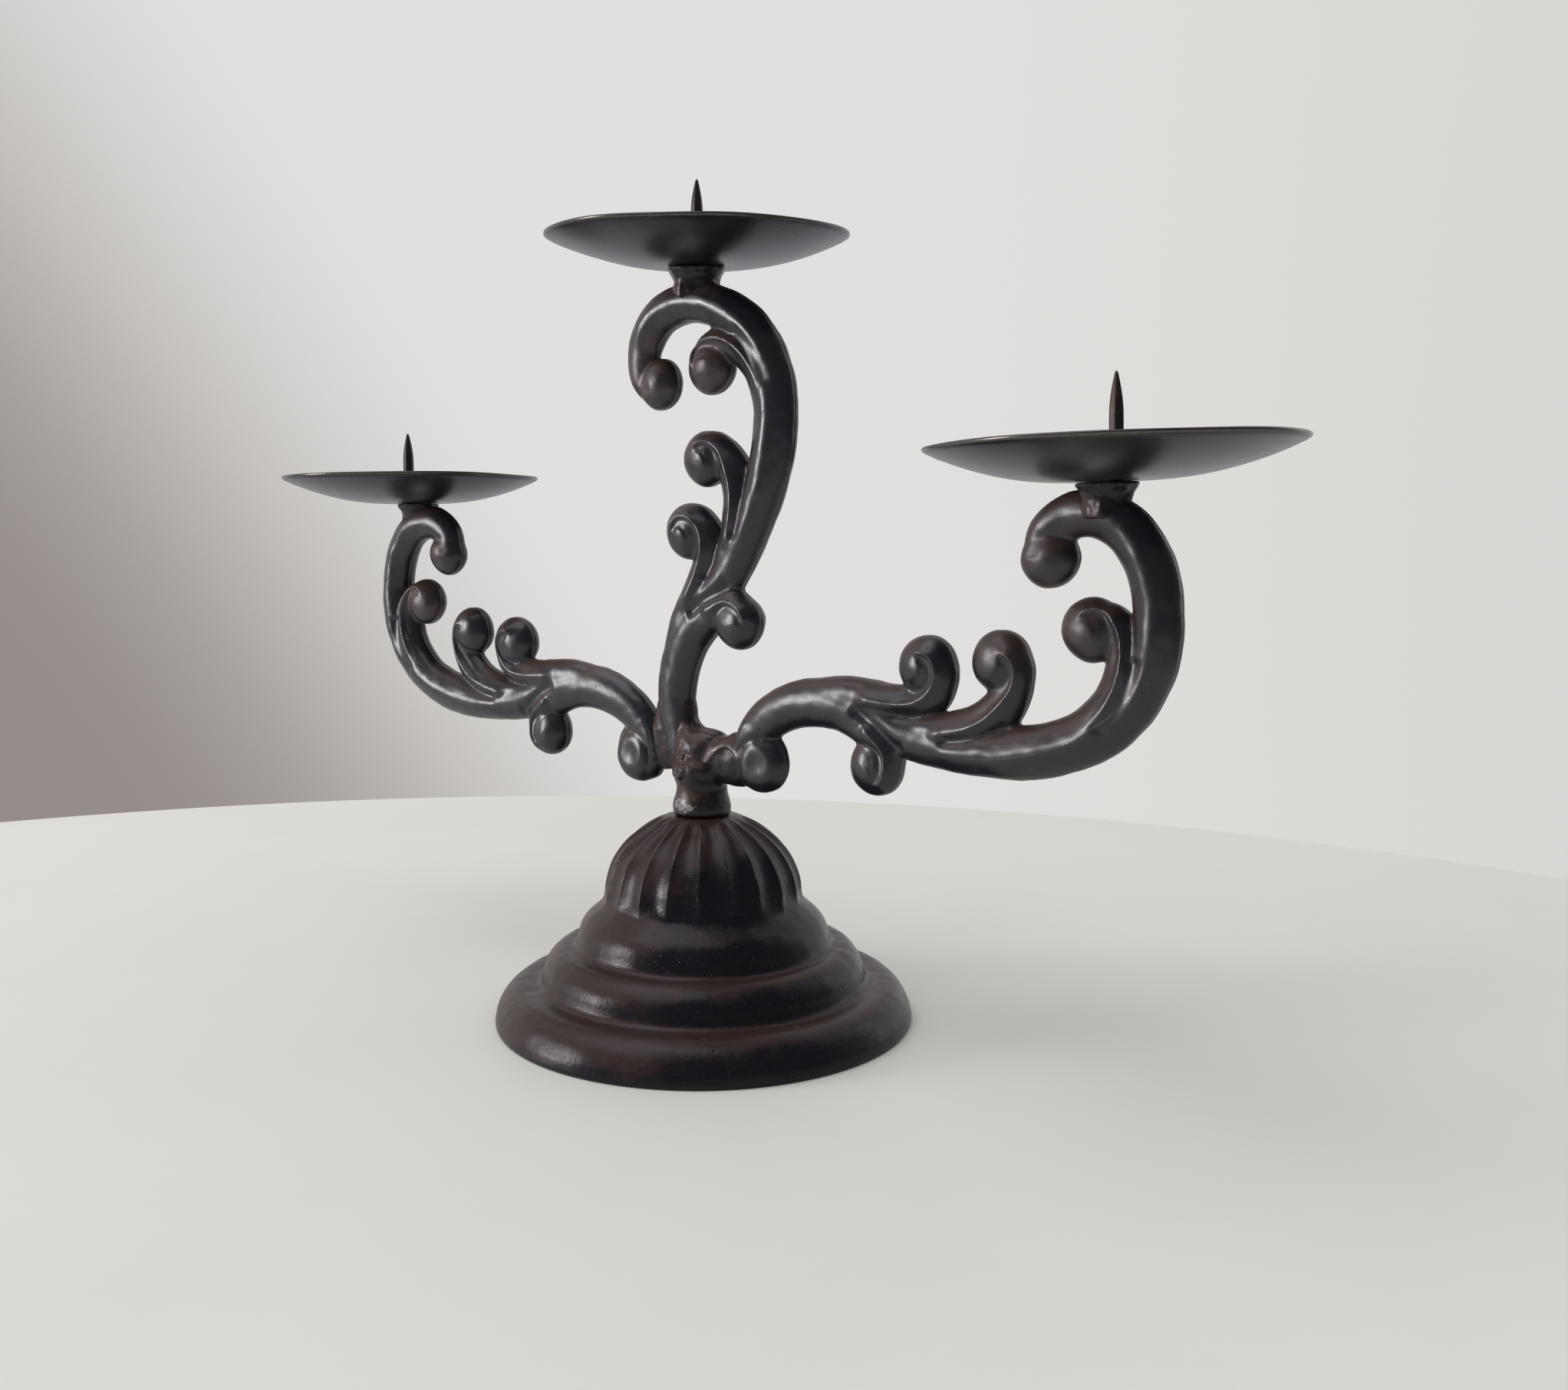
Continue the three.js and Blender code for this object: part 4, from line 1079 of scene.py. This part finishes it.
@dataclass
class BellFoot:
    """Pressed bell foot: three soft bands, a fluted dome and the seat of the neck.

    The flutes start between the heights flute_start and stop before the seat.
    """

    bands: Array = field(default_factory=lambda: np.array([
        [71.7, 1.6], [71.2, 4.0], [70.1, 6.6], [68.6, 9.0], [66.4, 11.2], [63.8, 12.6], [61.0, 13.0],
        [58.9, 13.0], [57.2, 13.2], [56.1, 14.2], [55.4, 16.0], [54.9, 18.0], [53.9, 20.5], [52.0, 22.9],
        [49.8, 24.6], [47.6, 25.3], [45.7, 25.4], [44.4, 25.9], [43.6, 27.1], [43.1, 28.8], [42.7, 30.4],
        [42.1, 32.2], [41.1, 34.0], [39.7, 35.7], [37.9, 37.3], [35.8, 39.2], [34.4, 41.2], [34.0, 43.0]]))
    dome: float = 34.0
    dome_foot: float = 43.0
    dome_rise: float = 28.5
    wall: float = 1.6
    seat: float = 10.6
    hole: float = 4.3
    flutes: int = 20
    flute_depth: float = 1.55
    flute_turn: float = 3.7
    flute_start: tuple[float, float] = (39.2, 47.0)
    columns: int = 440
    unevenness: tuple = ((26.0, 3, 0.12), (8.0, 4, 0.05))

    def outside(self) -> Array:
        """Outer profile from the rim over the bands and the dome to the seat."""
        angle = np.linspace(0.0, math.acos(self.seat / self.dome), 46)
        dome = np.stack([self.dome * np.cos(angle), self.dome_foot + self.dome_rise * np.sin(angle)], 1)
        rim = np.array([[-0.9, 0.0], [-0.25, 0.2], [-0.02, 0.8]]) + [self.bands[0, 0], 0.0]
        return np.vstack([rim, curve_through(self.bands, 120)[:-1], dome])

    def pressed(self, grid: Array) -> tuple[Array, Array]:
        """Presses the flutes into the dome's grid.

        A valley sinks along the dome's outward direction by depth * |sin(n a / 2)|, where a is
        the angle round the foot and n the number of flutes. It runs out in the cove under the
        dome and near the seat.

        Args:
            grid: Grid, rows by columns by 3.

        Returns:
            The pressed grid and the mask of its sharp ridges.
        """
        x, y, z = np.moveaxis(grid, -1, 0)
        radius = off_axis(grid)
        climb = np.clip((z - self.dome_foot) / self.dome_rise, 0.0, 1.0)
        angle = np.arctan2(y, x) - math.radians(self.flute_turn)
        phase = np.abs(np.sin(angle * self.flutes / 2.0))
        width = np.clip(radius / self.dome, 0.3, 1.0)
        fade = smoothstep(z, *self.flute_start) * smoothstep(radius, self.seat + 0.6, self.seat + 8.0)
        sink = self.flute_depth * width**0.35 * phase**0.8 * fade
        outward = np.stack([np.maximum(radius, 1.0) / self.dome**2, climb / self.dome_rise], axis=-1)
        outward /= np.linalg.norm(outward, axis=-1)[..., None]
        scale = (radius - sink * outward[..., 0]) / radius
        pressed = np.stack([x * scale, y * scale, z - sink * outward[..., 1]], axis=-1)
        return pressed, fade * bell(phase * radius / (self.flutes / 2.0), 0.34)

    def inside(self, outside: Array) -> Array:
        """Inner profile, from the rim to the seat, one sheet thickness under the outer one."""
        slope = np.gradient(outside, axis=0)
        slope /= np.linalg.norm(slope, axis=1)[:, None]
        inner = (outside + np.stack([-slope[:, 1], slope[:, 0]], axis=1) * self.wall)[3::2]
        under_rim = (inner[:, 0] < self.bands[0, 0] - self.wall) & (inner[:, 1] > 1.0)
        return inner[under_rim & (inner[:, 0] > self.seat + 1.0)]

    def build(self, finish: Material) -> None:
        """Makes the foot as one closed sheet, pressed alike on both of its sides.

        Args:
            finish: Material of the foot.
        """
        outside = self.outside()
        inner = self.inside(outside)[::-1]
        top, below = outside[-1, 1], outside[-1, 1] - self.wall
        seat = np.linspace(outside[-1], [self.hole, top], 6)[1:]
        under = [[self.hole, below], [self.seat, below]]
        grid, ridge = self.pressed(turned(outside, self.columns))
        hidden, _ = self.pressed(turned(inner, self.columns))
        last = [[self.bands[0, 0] - self.wall, 0.0]]
        plain = turned(np.vstack([outside, seat, under, inner, last]), self.columns)
        faces = grid_faces(len(plain), self.columns, closed=True)
        mesh = mesh_from("foot_bell", plain.reshape(-1, 3), faces)
        shade_masks(mesh)
        plain[:len(grid)] = grid
        plain[-1 - len(hidden):-1] = hidden
        points = plain.reshape(-1, 3)
        set_points(mesh, points)
        share = smoothstep(points[:, 2], 1.0, 6.0) * smoothstep(off_axis(points), 11.0, 15.0)
        push(mesh, ripple(points, *self.unevenness) * share)
        # The flutes' sharp ridges fill the crest mask, lightened partly as wear, partly as painted
        # highlight.
        crest = np.zeros(len(points))
        crest[:ridge.size] = ridge.ravel()
        set_mask(mesh, "crest", crest)
        place_piece("foot_bell", mesh, finish, "base_bell")


@dataclass
class Hub:
    """Neck and the weld saddles that join the three root volutes.

    A saddle is x, z and half depth of its two ends and its half height. The bare patch is x and
    z of its middle and its half sizes. The craters lie round x and z, from one distance to where
    they are full. The pieces part at the places on X in parting, and their tops are cut off at
    top.
    """

    arms: ScrollArm
    seat_height: float = 70.08
    neck: Array = field(default_factory=lambda: np.array([
        [9.7, 0.0], [9.95, 0.3], [10.0, 2.0], [9.9, 4.4], [9.5, 6.0], [8.9, 7.8], [8.55, 9.4], [8.7, 10.8],
        [9.4, 12.6], [10.2, 14.4], [10.4, 16.2], [9.6, 18.0], [7.0, 20.0], [3.0, 21.0]]))
    saddle_right: tuple = ((1.0, 91.0, 6.6), (22.0, 90.3, 4.3), 9.7)
    saddle_left: tuple = ((-20.5, 96.8, 3.9), (-3.0, 99.8, 4.6), 14.6)
    ball: tuple = (-0.3, 92.0, 10.8, 7.6)
    bare: tuple[float, float, float, float] = (-0.4, 74.4, 4.2, 2.0)
    craters: tuple[float, float, float, float] = (-2.6, 87.6, 5.6, 1.6)
    parting: tuple[float, float, float, float] = (-22.5, -9.6, 10.8, 22.5)
    top: float = 112.0
    roughness: tuple = ((7.0, 21, 0.12), (3.0, 22, 0.04))
    fold_height: float = 0.55
    crater_depth: float = 0.38
    fold: Array = field(default_factory=lambda: np.array([
        [6.1, 87.8], [7.3, 89.7], [8.9, 91.6], [11.3, 93.9], [13.6, 95.3], [15.9, 95.2], [17.4, 94.2],
        [18.9, 92.6], [19.7, 91.0], [20.4, 89.0]]))

    @staticmethod
    def saddle(start: tuple, end: tuple, radius: float) -> tuple[Array, list]:
        """Waisted bar between two volutes: radius * (1 - 0.05 sin(pi s)) along its length.

        Args:
            start: X, Z and half depth of the left end.
            end: X, Z and half depth of the right end.
            radius: Half height of the ends.

        Returns:
            Points and faces.
        """
        share = np.linspace(0.0, 1.0, 24)[:, None]
        blunt = np.sqrt(np.clip(1.0 - (2.0 * share - 1.0) ** 8, 0.05, 1.0))
        size = radius * (1.0 - 0.05 * np.sin(math.pi * share)) * blunt
        angle = ring_angles(32)
        x, z, depth = (first + (second - first) * share for first, second in zip(start, end))
        rings = np.stack([x + 0.0 * angle, -depth * size / radius * np.cos(angle),
                          z + size * np.sin(angle)], axis=2)
        return capped_tube(rings[:, ::-1])

    def worked(self, points: Array, normal: Array) -> tuple[Array, Array]:
        """Leaves the weld's fold, its craters and its unevenness on the fused skin.

        Args:
            points: Rows of x, y, z.
            normal: Their normals.

        Returns:
            The moved points and the mask of the fold.
        """
        line = curve_through(self.fold, 60)
        distance, share = self.arms.measure(line, points[:, [0, 2]])
        front = smoothstep(-points[:, 1], 2.0, 5.0)
        fold = faded(share, 0.12, 0.85) * front * bell(distance, np.where(distance > 0.0, 0.5, 2.2))
        x, z, start, full = self.craters
        craters = smoothstep(np.hypot(points[:, 0] - x, (points[:, 2] - z) * 0.6), start, full) * front
        rough = ripple(points, *self.roughness, (3.6, 25, craters * self.crater_depth))
        collar = smoothstep(points[:, 2], self.seat_height + 4.0, self.seat_height + 0.5)
        raised = points + normal * (rough * (1.0 - 0.7 * collar) + self.fold_height * fold)[:, None]
        raised[:, 2] = np.maximum(raised[:, 2], self.seat_height + 0.02)
        return raised, fold

    def scraped(self, skin: Array) -> Array:
        """Mask of the bare patch at the front of the neck: a bell curve both ways, broken up."""
        x, z, wide, high = self.bare
        patch = bell(skin[:, 0] - x, wide) * bell(skin[:, 2] - z, high) * (skin[:, 1] < 0.0)
        return patch * (1.0 + ripple(skin, (2.2, 31, 0.8)))

    def build(self, finish: Material) -> None:
        """Fuses neck and saddles with the arms' cores, then parts them where the pieces meet.

        Args:
            finish: Material of the hub.
        """
        profile = curve_through(self.neck + [0.0, self.seat_height], count=48)
        shapes = [capped_tube(turned(profile, columns=48)), self.saddle(*self.saddle_right),
                  self.saddle(*self.saddle_left), self.arms.volute(*self.ball)]
        for side in Side:
            shapes += self.arms.core(side, slice(0, 7), inset=0.45, volutes=("root",))
        mesh = fused("hub", shapes, grain=0.5, rounds=26)
        points, fold = self.worked(points_of(mesh), normals_of(mesh))
        set_points(mesh, points)
        self.arms.settle(mesh)
        # The fold's line is lightened as painted highlight along the weld's ridge, partly wear; the bare
        # patch is wear.
        set_mask(mesh, "crest", np.maximum(fold, 2.2 * self.scraped(points_of(mesh))))
        mesh = cut_mesh(mesh, "hub_core", (0, 0, self.top), (0, 0, 1))
        far_left, left, right, far_right = self.parting
        for node, name, low, high in (("hub_weld_right", "weld_right", right, far_right),
                                      ("hub_weld_left", "weld_left", far_left, left),
                                      ("hub_neck", "neck", left, right)):
            part = slab(mesh, name, low, high)
            shade_masks(part, crest=None)
            place_piece(f"{node}_piece", part, finish, node)


@dataclass
class CandlePan:
    """Dished drip pan with its spike and the ferrule that carries them.

    The rim is a lip outside of the wall. The nick is a short drop of the rim at nick_at degrees,
    and nick_width is its half width in radians. The pan sags by sag and is dented by dent.
    """

    arms: ScrollArm
    side: Side
    reach: float
    azimuth: float
    rim: float
    lean: tuple[float, float]
    spike_set: tuple[float, float]
    spike_above: float
    ferrule_set: tuple[float, float]
    neck_radius: float
    radius: float = 50.0
    depth: float = 10.5
    flat: float = 11.0
    sheet: float = 1.2
    spike_radius: float = 2.05
    spike_root: float = 2.0
    lip: float = 0.5
    spike_room: float = 0.3
    dent: float = 0.22
    sag: float = 0.2
    nick: float = 0.0
    nick_at: float = 190.0
    nick_width: float = 0.1
    seed: int = 0

    def placement(self) -> Matrix:
        """Matrix of the rim's middle and lean, with its shift in millimetres."""
        azimuth = math.radians(self.azimuth)
        middle = Vector((self.reach * math.cos(azimuth), self.reach * math.sin(azimuth), self.rim))
        slope_x, slope_y = (-math.tan(math.radians(angle)) for angle in self.lean)
        normal = Vector((slope_x, slope_y, 1.0)).normalized()
        leaning = Vector((0.0, 0.0, 1.0)).rotation_difference(normal)
        return shift(*middle) @ leaning.to_matrix().to_4x4()

    def pan_profile(self) -> Array:
        """Flat floor, a wall that rises as the square of the way out, and a worn rim."""
        share = np.linspace(0.0, 1.0, 30)
        wide, high = self.radius - self.lip - self.flat, self.depth - self.sheet
        out, top = self.flat + wide * share, -high + high * share**2
        slope = 2.0 * high * share / wide
        thick = self.sheet / np.sqrt(1.0 + slope**2)
        below = np.stack([out + thick * slope, top - thick], axis=1)
        above = np.stack([out, top], axis=1)[::-1]
        rim = np.array([[-0.06, -0.95], [0.0, -0.55], [-0.08, -0.2], [-0.3, -0.02]]) + [self.radius, 0.0]
        hole, floor = self.spike_radius + self.spike_room, self.flat * 0.6
        return np.vstack([[[hole, -self.depth], [floor, -self.depth]], below[:-1], rim, above[1:],
                          [[floor, -high], [hole, -high]]])

    def pan_mesh(self) -> Mesh:
        """Turns the pan's profile, sets its hole off the middle, dents it and nicks its rim."""
        rings = turned(self.pan_profile(), PAN_COLUMNS)
        rings[..., :2] += smoothstep(off_axis(rings), self.flat, 4.0)[..., None] * self.spike_set
        points = rings.reshape(-1, 3)
        out = off_axis(points)
        dents = ripple(points * [1.0, 1.0, 0.0], (55.0, 30 + self.seed, self.dent))
        points[:, 2] += dents * smoothstep(out, 12.0, 45.0) - self.sag * smoothstep(out, 30.0, 50.0)
        angle = np.arctan2(points[:, 1], points[:, 0]) - math.radians(self.nick_at)
        nick = self.nick * bell(np.arctan2(np.sin(angle), np.cos(angle)), self.nick_width)
        edge = smoothstep(out, 45.0, 50.0)
        points[:, 2] -= nick * edge
        mesh = mesh_from(f"pan_{self.side.value}", points, grid_faces(len(rings), PAN_COLUMNS, closed=True))
        crest = np.maximum(bell(out - self.radius, 0.5), nick * smoothstep(edge, 0.8, 1.0))
        placed = moved_mesh(mesh, f"pan_{self.side.value}_piece", self.placement())
        shade_masks(placed, crest=crest)
        return placed

    def spike_mesh(self) -> Mesh:
        """Makes the spike: a forged rod whose width follows a lance point, slightly faceted."""
        height, width = LANCE.T
        height = height * np.where(height < 0.0, self.depth + self.spike_root, self.spike_above)
        profile = np.stack([width * self.spike_radius, height], axis=1)
        rings = turned(curve_through(profile, count=60), columns=48)
        angle = np.arctan2(rings[..., 1], rings[..., 0])
        rings[..., :2] *= (0.965 + 0.035 * np.cos(6.0 * angle + 0.5))[..., None]
        points, faces = capped_tube(rings)
        points[:, :2] += self.spike_set
        placed = moved_mesh(mesh_from("spike", points, faces), f"spike_{self.side.value}_piece",
                            self.placement())
        shade_masks(placed, crest=smoothstep(points[:, 2], 9.0, 16.5) * 0.6)
        return placed

    def ferrule_mesh(self) -> Mesh:
        """Makes the ferrule: a flared stub fused with the arm's core, so that its foot runs into it."""
        profile = curve_through(FERRULE + [self.neck_radius, 0.0], count=40)
        points, faces = capped_tube(turned(profile, columns=72))
        angle = np.arctan2(points[:, 1], points[:, 0])
        low = smoothstep(points[:, 2], -12.0, -17.0)
        lobes = 0.03 * np.sin(3.0 * angle + self.seed) + 0.04 * low * np.sin(5.0 * angle + 2.0 * self.seed)
        points[:, :2] *= (1.0 + lobes)[:, None]
        points[:, :2] += self.ferrule_set
        placement = self.placement()
        shapes = [(moved(points, placement), faces), *self.arms.core(self.side, slice(17, 25), inset=0.5)]
        middle = (placement @ Vector((*self.ferrule_set, 0.0))).x
        wide = self.neck_radius + FERRULE_ROOM
        mesh = fused("ferrule", shapes, grain=0.42, rounds=10)
        mesh = slab(mesh, "ferrule_slab", middle - wide, middle + wide)
        mesh = cut_mesh(mesh, f"ferrule_{self.side.value}", (0, 0, self.rim - FERRULE_DROP), (0, 0, -1))
        placed = points_of(mesh)
        rough = ripple(placed, (4.5, 50 + self.seed, 0.16), (2.2, 60 + self.seed, 0.07))
        plain = np.array(placement)
        push(mesh, rough * smoothstep((placed - plain[:3, 3]) @ plain[:3, 2], -10.6, -12.0))
        shade_masks(mesh)
        return mesh

    def build(self, pan: Material, iron: Material, weld: Material) -> None:
        """Places the pan, the iron spike and the ferrule of weld."""
        side = self.side.value
        place_piece(f"pan_{side}_piece", self.pan_mesh(), pan, f"pan_{side}")
        place_piece(f"spike_{side}_piece", self.spike_mesh(), iron, f"spike_{side}")
        place_piece(f"ferrule_{side}_piece", self.ferrule_mesh(), weld, f"ferrule_{side}")


# ---- The room ----


@dataclass(frozen=True)
class Lamp:
    """Soft rectangular lamp: width and height in metres, watts, its place and its colour."""

    name: str
    size: tuple[float, float]
    power: float
    place: tuple[float, float, float]
    colour: Colour

    def hang(self, place: Vector, target: Vector) -> None:
        """Hangs the lamp at a place of the object's frame, facing a target."""
        data = bpy.data.lights.new(self.name, "AREA")
        data.shape = "RECTANGLE"
        data.size, data.size_y = self.size
        data.energy = self.power
        data.color = self.colour
        lamp = put(self.name, data)
        lamp.location = place
        lamp.rotation_euler = (target - place).to_track_quat("-Z", "Y").to_euler()


@dataclass
class Studio:
    """Camera, pale table, pale surround and soft lamps.

    Places are in the camera's level frame, +Y away from it, whose middle is the object's. The
    camera's place and the table are in millimetres, the lamps in metres.
    """

    focal_pixels: float = 1865.5
    frame_width: int = 2044
    axis_x: float = 950.85
    sensor: float = 36.0
    pitch: float = 6.4807
    roll: float = -0.3981
    azimuth: float = 40.993
    place: tuple[float, float, float] = (9.60, -482.84, 165.85)
    table_middle: tuple[float, float] = (-111.0, -269.0)
    table_radius: float = 687.0
    table_edge: float = 3.0
    table_sheet: float = 22.0
    wall_left: Colour = (0.30, 0.265, 0.25)
    wall_middle: Colour = (0.755, 0.745, 0.73)
    wall_right: Colour = (0.68, 0.685, 0.66)
    room: Colour = (0.13, 0.125, 0.125)
    floor_light: Colour = (0.46, 0.46, 0.46)
    sky_light: Colour = (0.66, 0.67, 0.68)
    faced: tuple[float, float, float] = (0.0, 0.0, 0.12)
    lamps: tuple[Lamp, ...] = (
        Lamp("window", (0.72, 0.9), 42.0, (-2.75, -0.35, 0.55), (1.0, 0.985, 0.965)),
        Lamp("ceiling", (2.0, 2.0), 22.0, (-0.9, -0.3, 2.4), (1.0, 1.0, 1.0)),
        Lamp("side", (0.5, 1.2), 1.2, (1.7, 0.7, 0.7), (0.94, 0.97, 1.0)))

    def level(self, place: tuple[float, float, float]) -> Vector:
        """Turns a place or direction from the camera's level frame into the object's."""
        return turn(self.azimuth, "Z") @ Vector(place)

    def camera(self) -> None:
        """Stands the camera where the photograph was taken from."""
        pitch, roll = math.radians(self.pitch), math.radians(self.roll)
        forward = Vector((0.0, math.cos(pitch), -math.sin(pitch)))
        across = Vector((1.0, 0.0, 0.0))
        right = across * math.cos(roll) + across.cross(forward) * math.sin(roll)
        basis = Matrix((right, right.cross(forward), -forward)).transposed().to_4x4()
        data = bpy.data.cameras.new("photo_camera")
        data.sensor_width = self.sensor
        data.sensor_fit = "HORIZONTAL"
        data.lens = self.focal_pixels * self.sensor / self.frame_width
        data.shift_x = (self.frame_width / 2.0 - self.axis_x) / self.frame_width
        data.clip_start = 0.01
        camera = put("photo_camera", data)
        camera.matrix_world = turn(self.azimuth, "Z") @ shift(*(Vector(self.place) * MM)) @ basis
        bpy.context.scene.camera = camera

    def table(self) -> None:
        """Lays the pale round table top, whose edge is rounded over."""
        bend = np.linspace(0.0, math.pi / 2, 6)
        round_out, round_down = self.table_edge * np.sin(bend), self.table_edge * (np.cos(bend) - 1.0)
        radius = np.r_[1.0, 200.0, 450.0, self.table_radius - self.table_edge + round_out,
                       self.table_radius, 1.0]
        height = np.r_[0.0, 0.0, 0.0, round_down, -self.table_sheet, -self.table_sheet]
        points, faces = capped_tube(turned(np.stack([radius, height], axis=1), 256)[::-1])
        points += np.array(self.level((*self.table_middle, 0.0)))
        table = put("table_top", mesh_from("table_top", points, faces, smooth=False))
        table.data.materials.append(TABLE.material())

    def surround(self) -> None:
        """Pale wall behind the object, a dimmer room on the camera's side.

        The wall's tone is darker towards the left, as far from the window's light.
        """
        world = bpy.data.worlds.new("room")
        bpy.context.scene.world = world
        world.use_nodes = True
        world.node_tree.nodes.clear()
        tree = NodeTree(world.node_tree)
        camera, glossy, through = (tree.add(f"Is {kind} Ray", "LightPath")
                                   for kind in ("Camera", "Glossy", "Transmission"))
        towards = tree.add("Generated", "TexCoord")
        across = tree.along(towards, self.level((1.0, 0.0, 0.0)))
        away = tree.along(towards, self.level((0.0, 1.0, 0.0)))
        rise = tree.along(towards, (0.0, 0.0, 1.0))

        tone = tree.blend(tree.step(across + rise * 0.6, -0.50, -0.10), self.wall_left, self.wall_middle)
        tones = (tree.blend(tree.step(across, 0.05, 0.55), tone, self.wall_right),
                 tree.blend(tree.step(away + rise * 0.3, -0.25, 0.75), self.room, self.wall_middle),
                 tree.blend(tree.step(rise, -0.2, 0.9), self.floor_light, self.sky_light))
        seen, mirrored, fill = (tree.add(0, "Background", {"Color": tone}) for tone in tones)
        unseen = tree.add(0, "MixShader", {0: glossy, 1: fill, 2: mirrored})
        sight = tree.math("MAXIMUM", camera, through)
        tree.node("OutputWorld", {"Surface": tree.add(0, "MixShader", {0: sight, 1: unseen, 2: seen})})

    def build(self) -> None:
        """Sets the whole room."""
        self.camera()
        self.table()
        self.surround()
        for lamp in self.lamps:
            lamp.hang(self.level(lamp.place), self.level(self.faced))
        bpy.context.scene.view_settings.view_transform = "Standard"


def main() -> None:
    """Builds the candelabrum and the room, in order."""
    logging.basicConfig(level=logging.INFO, format="%(name)s: %(message)s")
    effects = SharedEffects()
    arm, foot, pan, shaded_pan, hub, spike, zinc = (
        finish.material(effects) for finish in
        (PAINTED_ARM, PAINTED_FOOT, PAINTED_PAN, SHADED_PAN, HUB_PAINT, SPIKE_IRON, BOLT_ZINC))

    Studio().build()
    BellFoot().build(foot)
    arms = ScrollArm()
    Hub(arms).build(hub)
    arms.build(arm)
    pans = (
        CandlePan(arms, Side.RIGHT, reach=147.7, azimuth=0.0, rim=189.3, lean=(1.1, 0.6),
                  spike_set=(1.2, 1.0), spike_above=18.5, ferrule_set=(-0.8, -0.6), neck_radius=6.6,
                  nick=1.1, seed=1),
        CandlePan(arms, Side.CENTRE, reach=0.0, azimuth=0.0, rim=263.1, lean=(-2.6, 2.4),
                  spike_set=(0.0, 0.0), spike_above=17.2, ferrule_set=(0.0, 0.0), neck_radius=7.7,
                  seed=2),
        CandlePan(arms, Side.LEFT, reach=151.8, azimuth=181.4, rim=188.8, lean=(0.4, -0.5),
                  spike_set=(-0.9, -0.8), spike_above=17.2, ferrule_set=(1.8, 1.5), neck_radius=6.4,
                  seed=3),
    )
    for candle_pan in pans:
        # The centre and left pans take the darker copy of the pan paint, painted shade.
        candle_pan.build(pan if candle_pan.side is Side.RIGHT else shaded_pan, spike, hub)
    for name in ("base_bolt", "base_washer"):
        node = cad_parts[name]
        for holder in node.material_slots:
            holder.material = zinc
        LOG.info("%s keeps its solid", name)


if __name__ == "__main__":
    main()
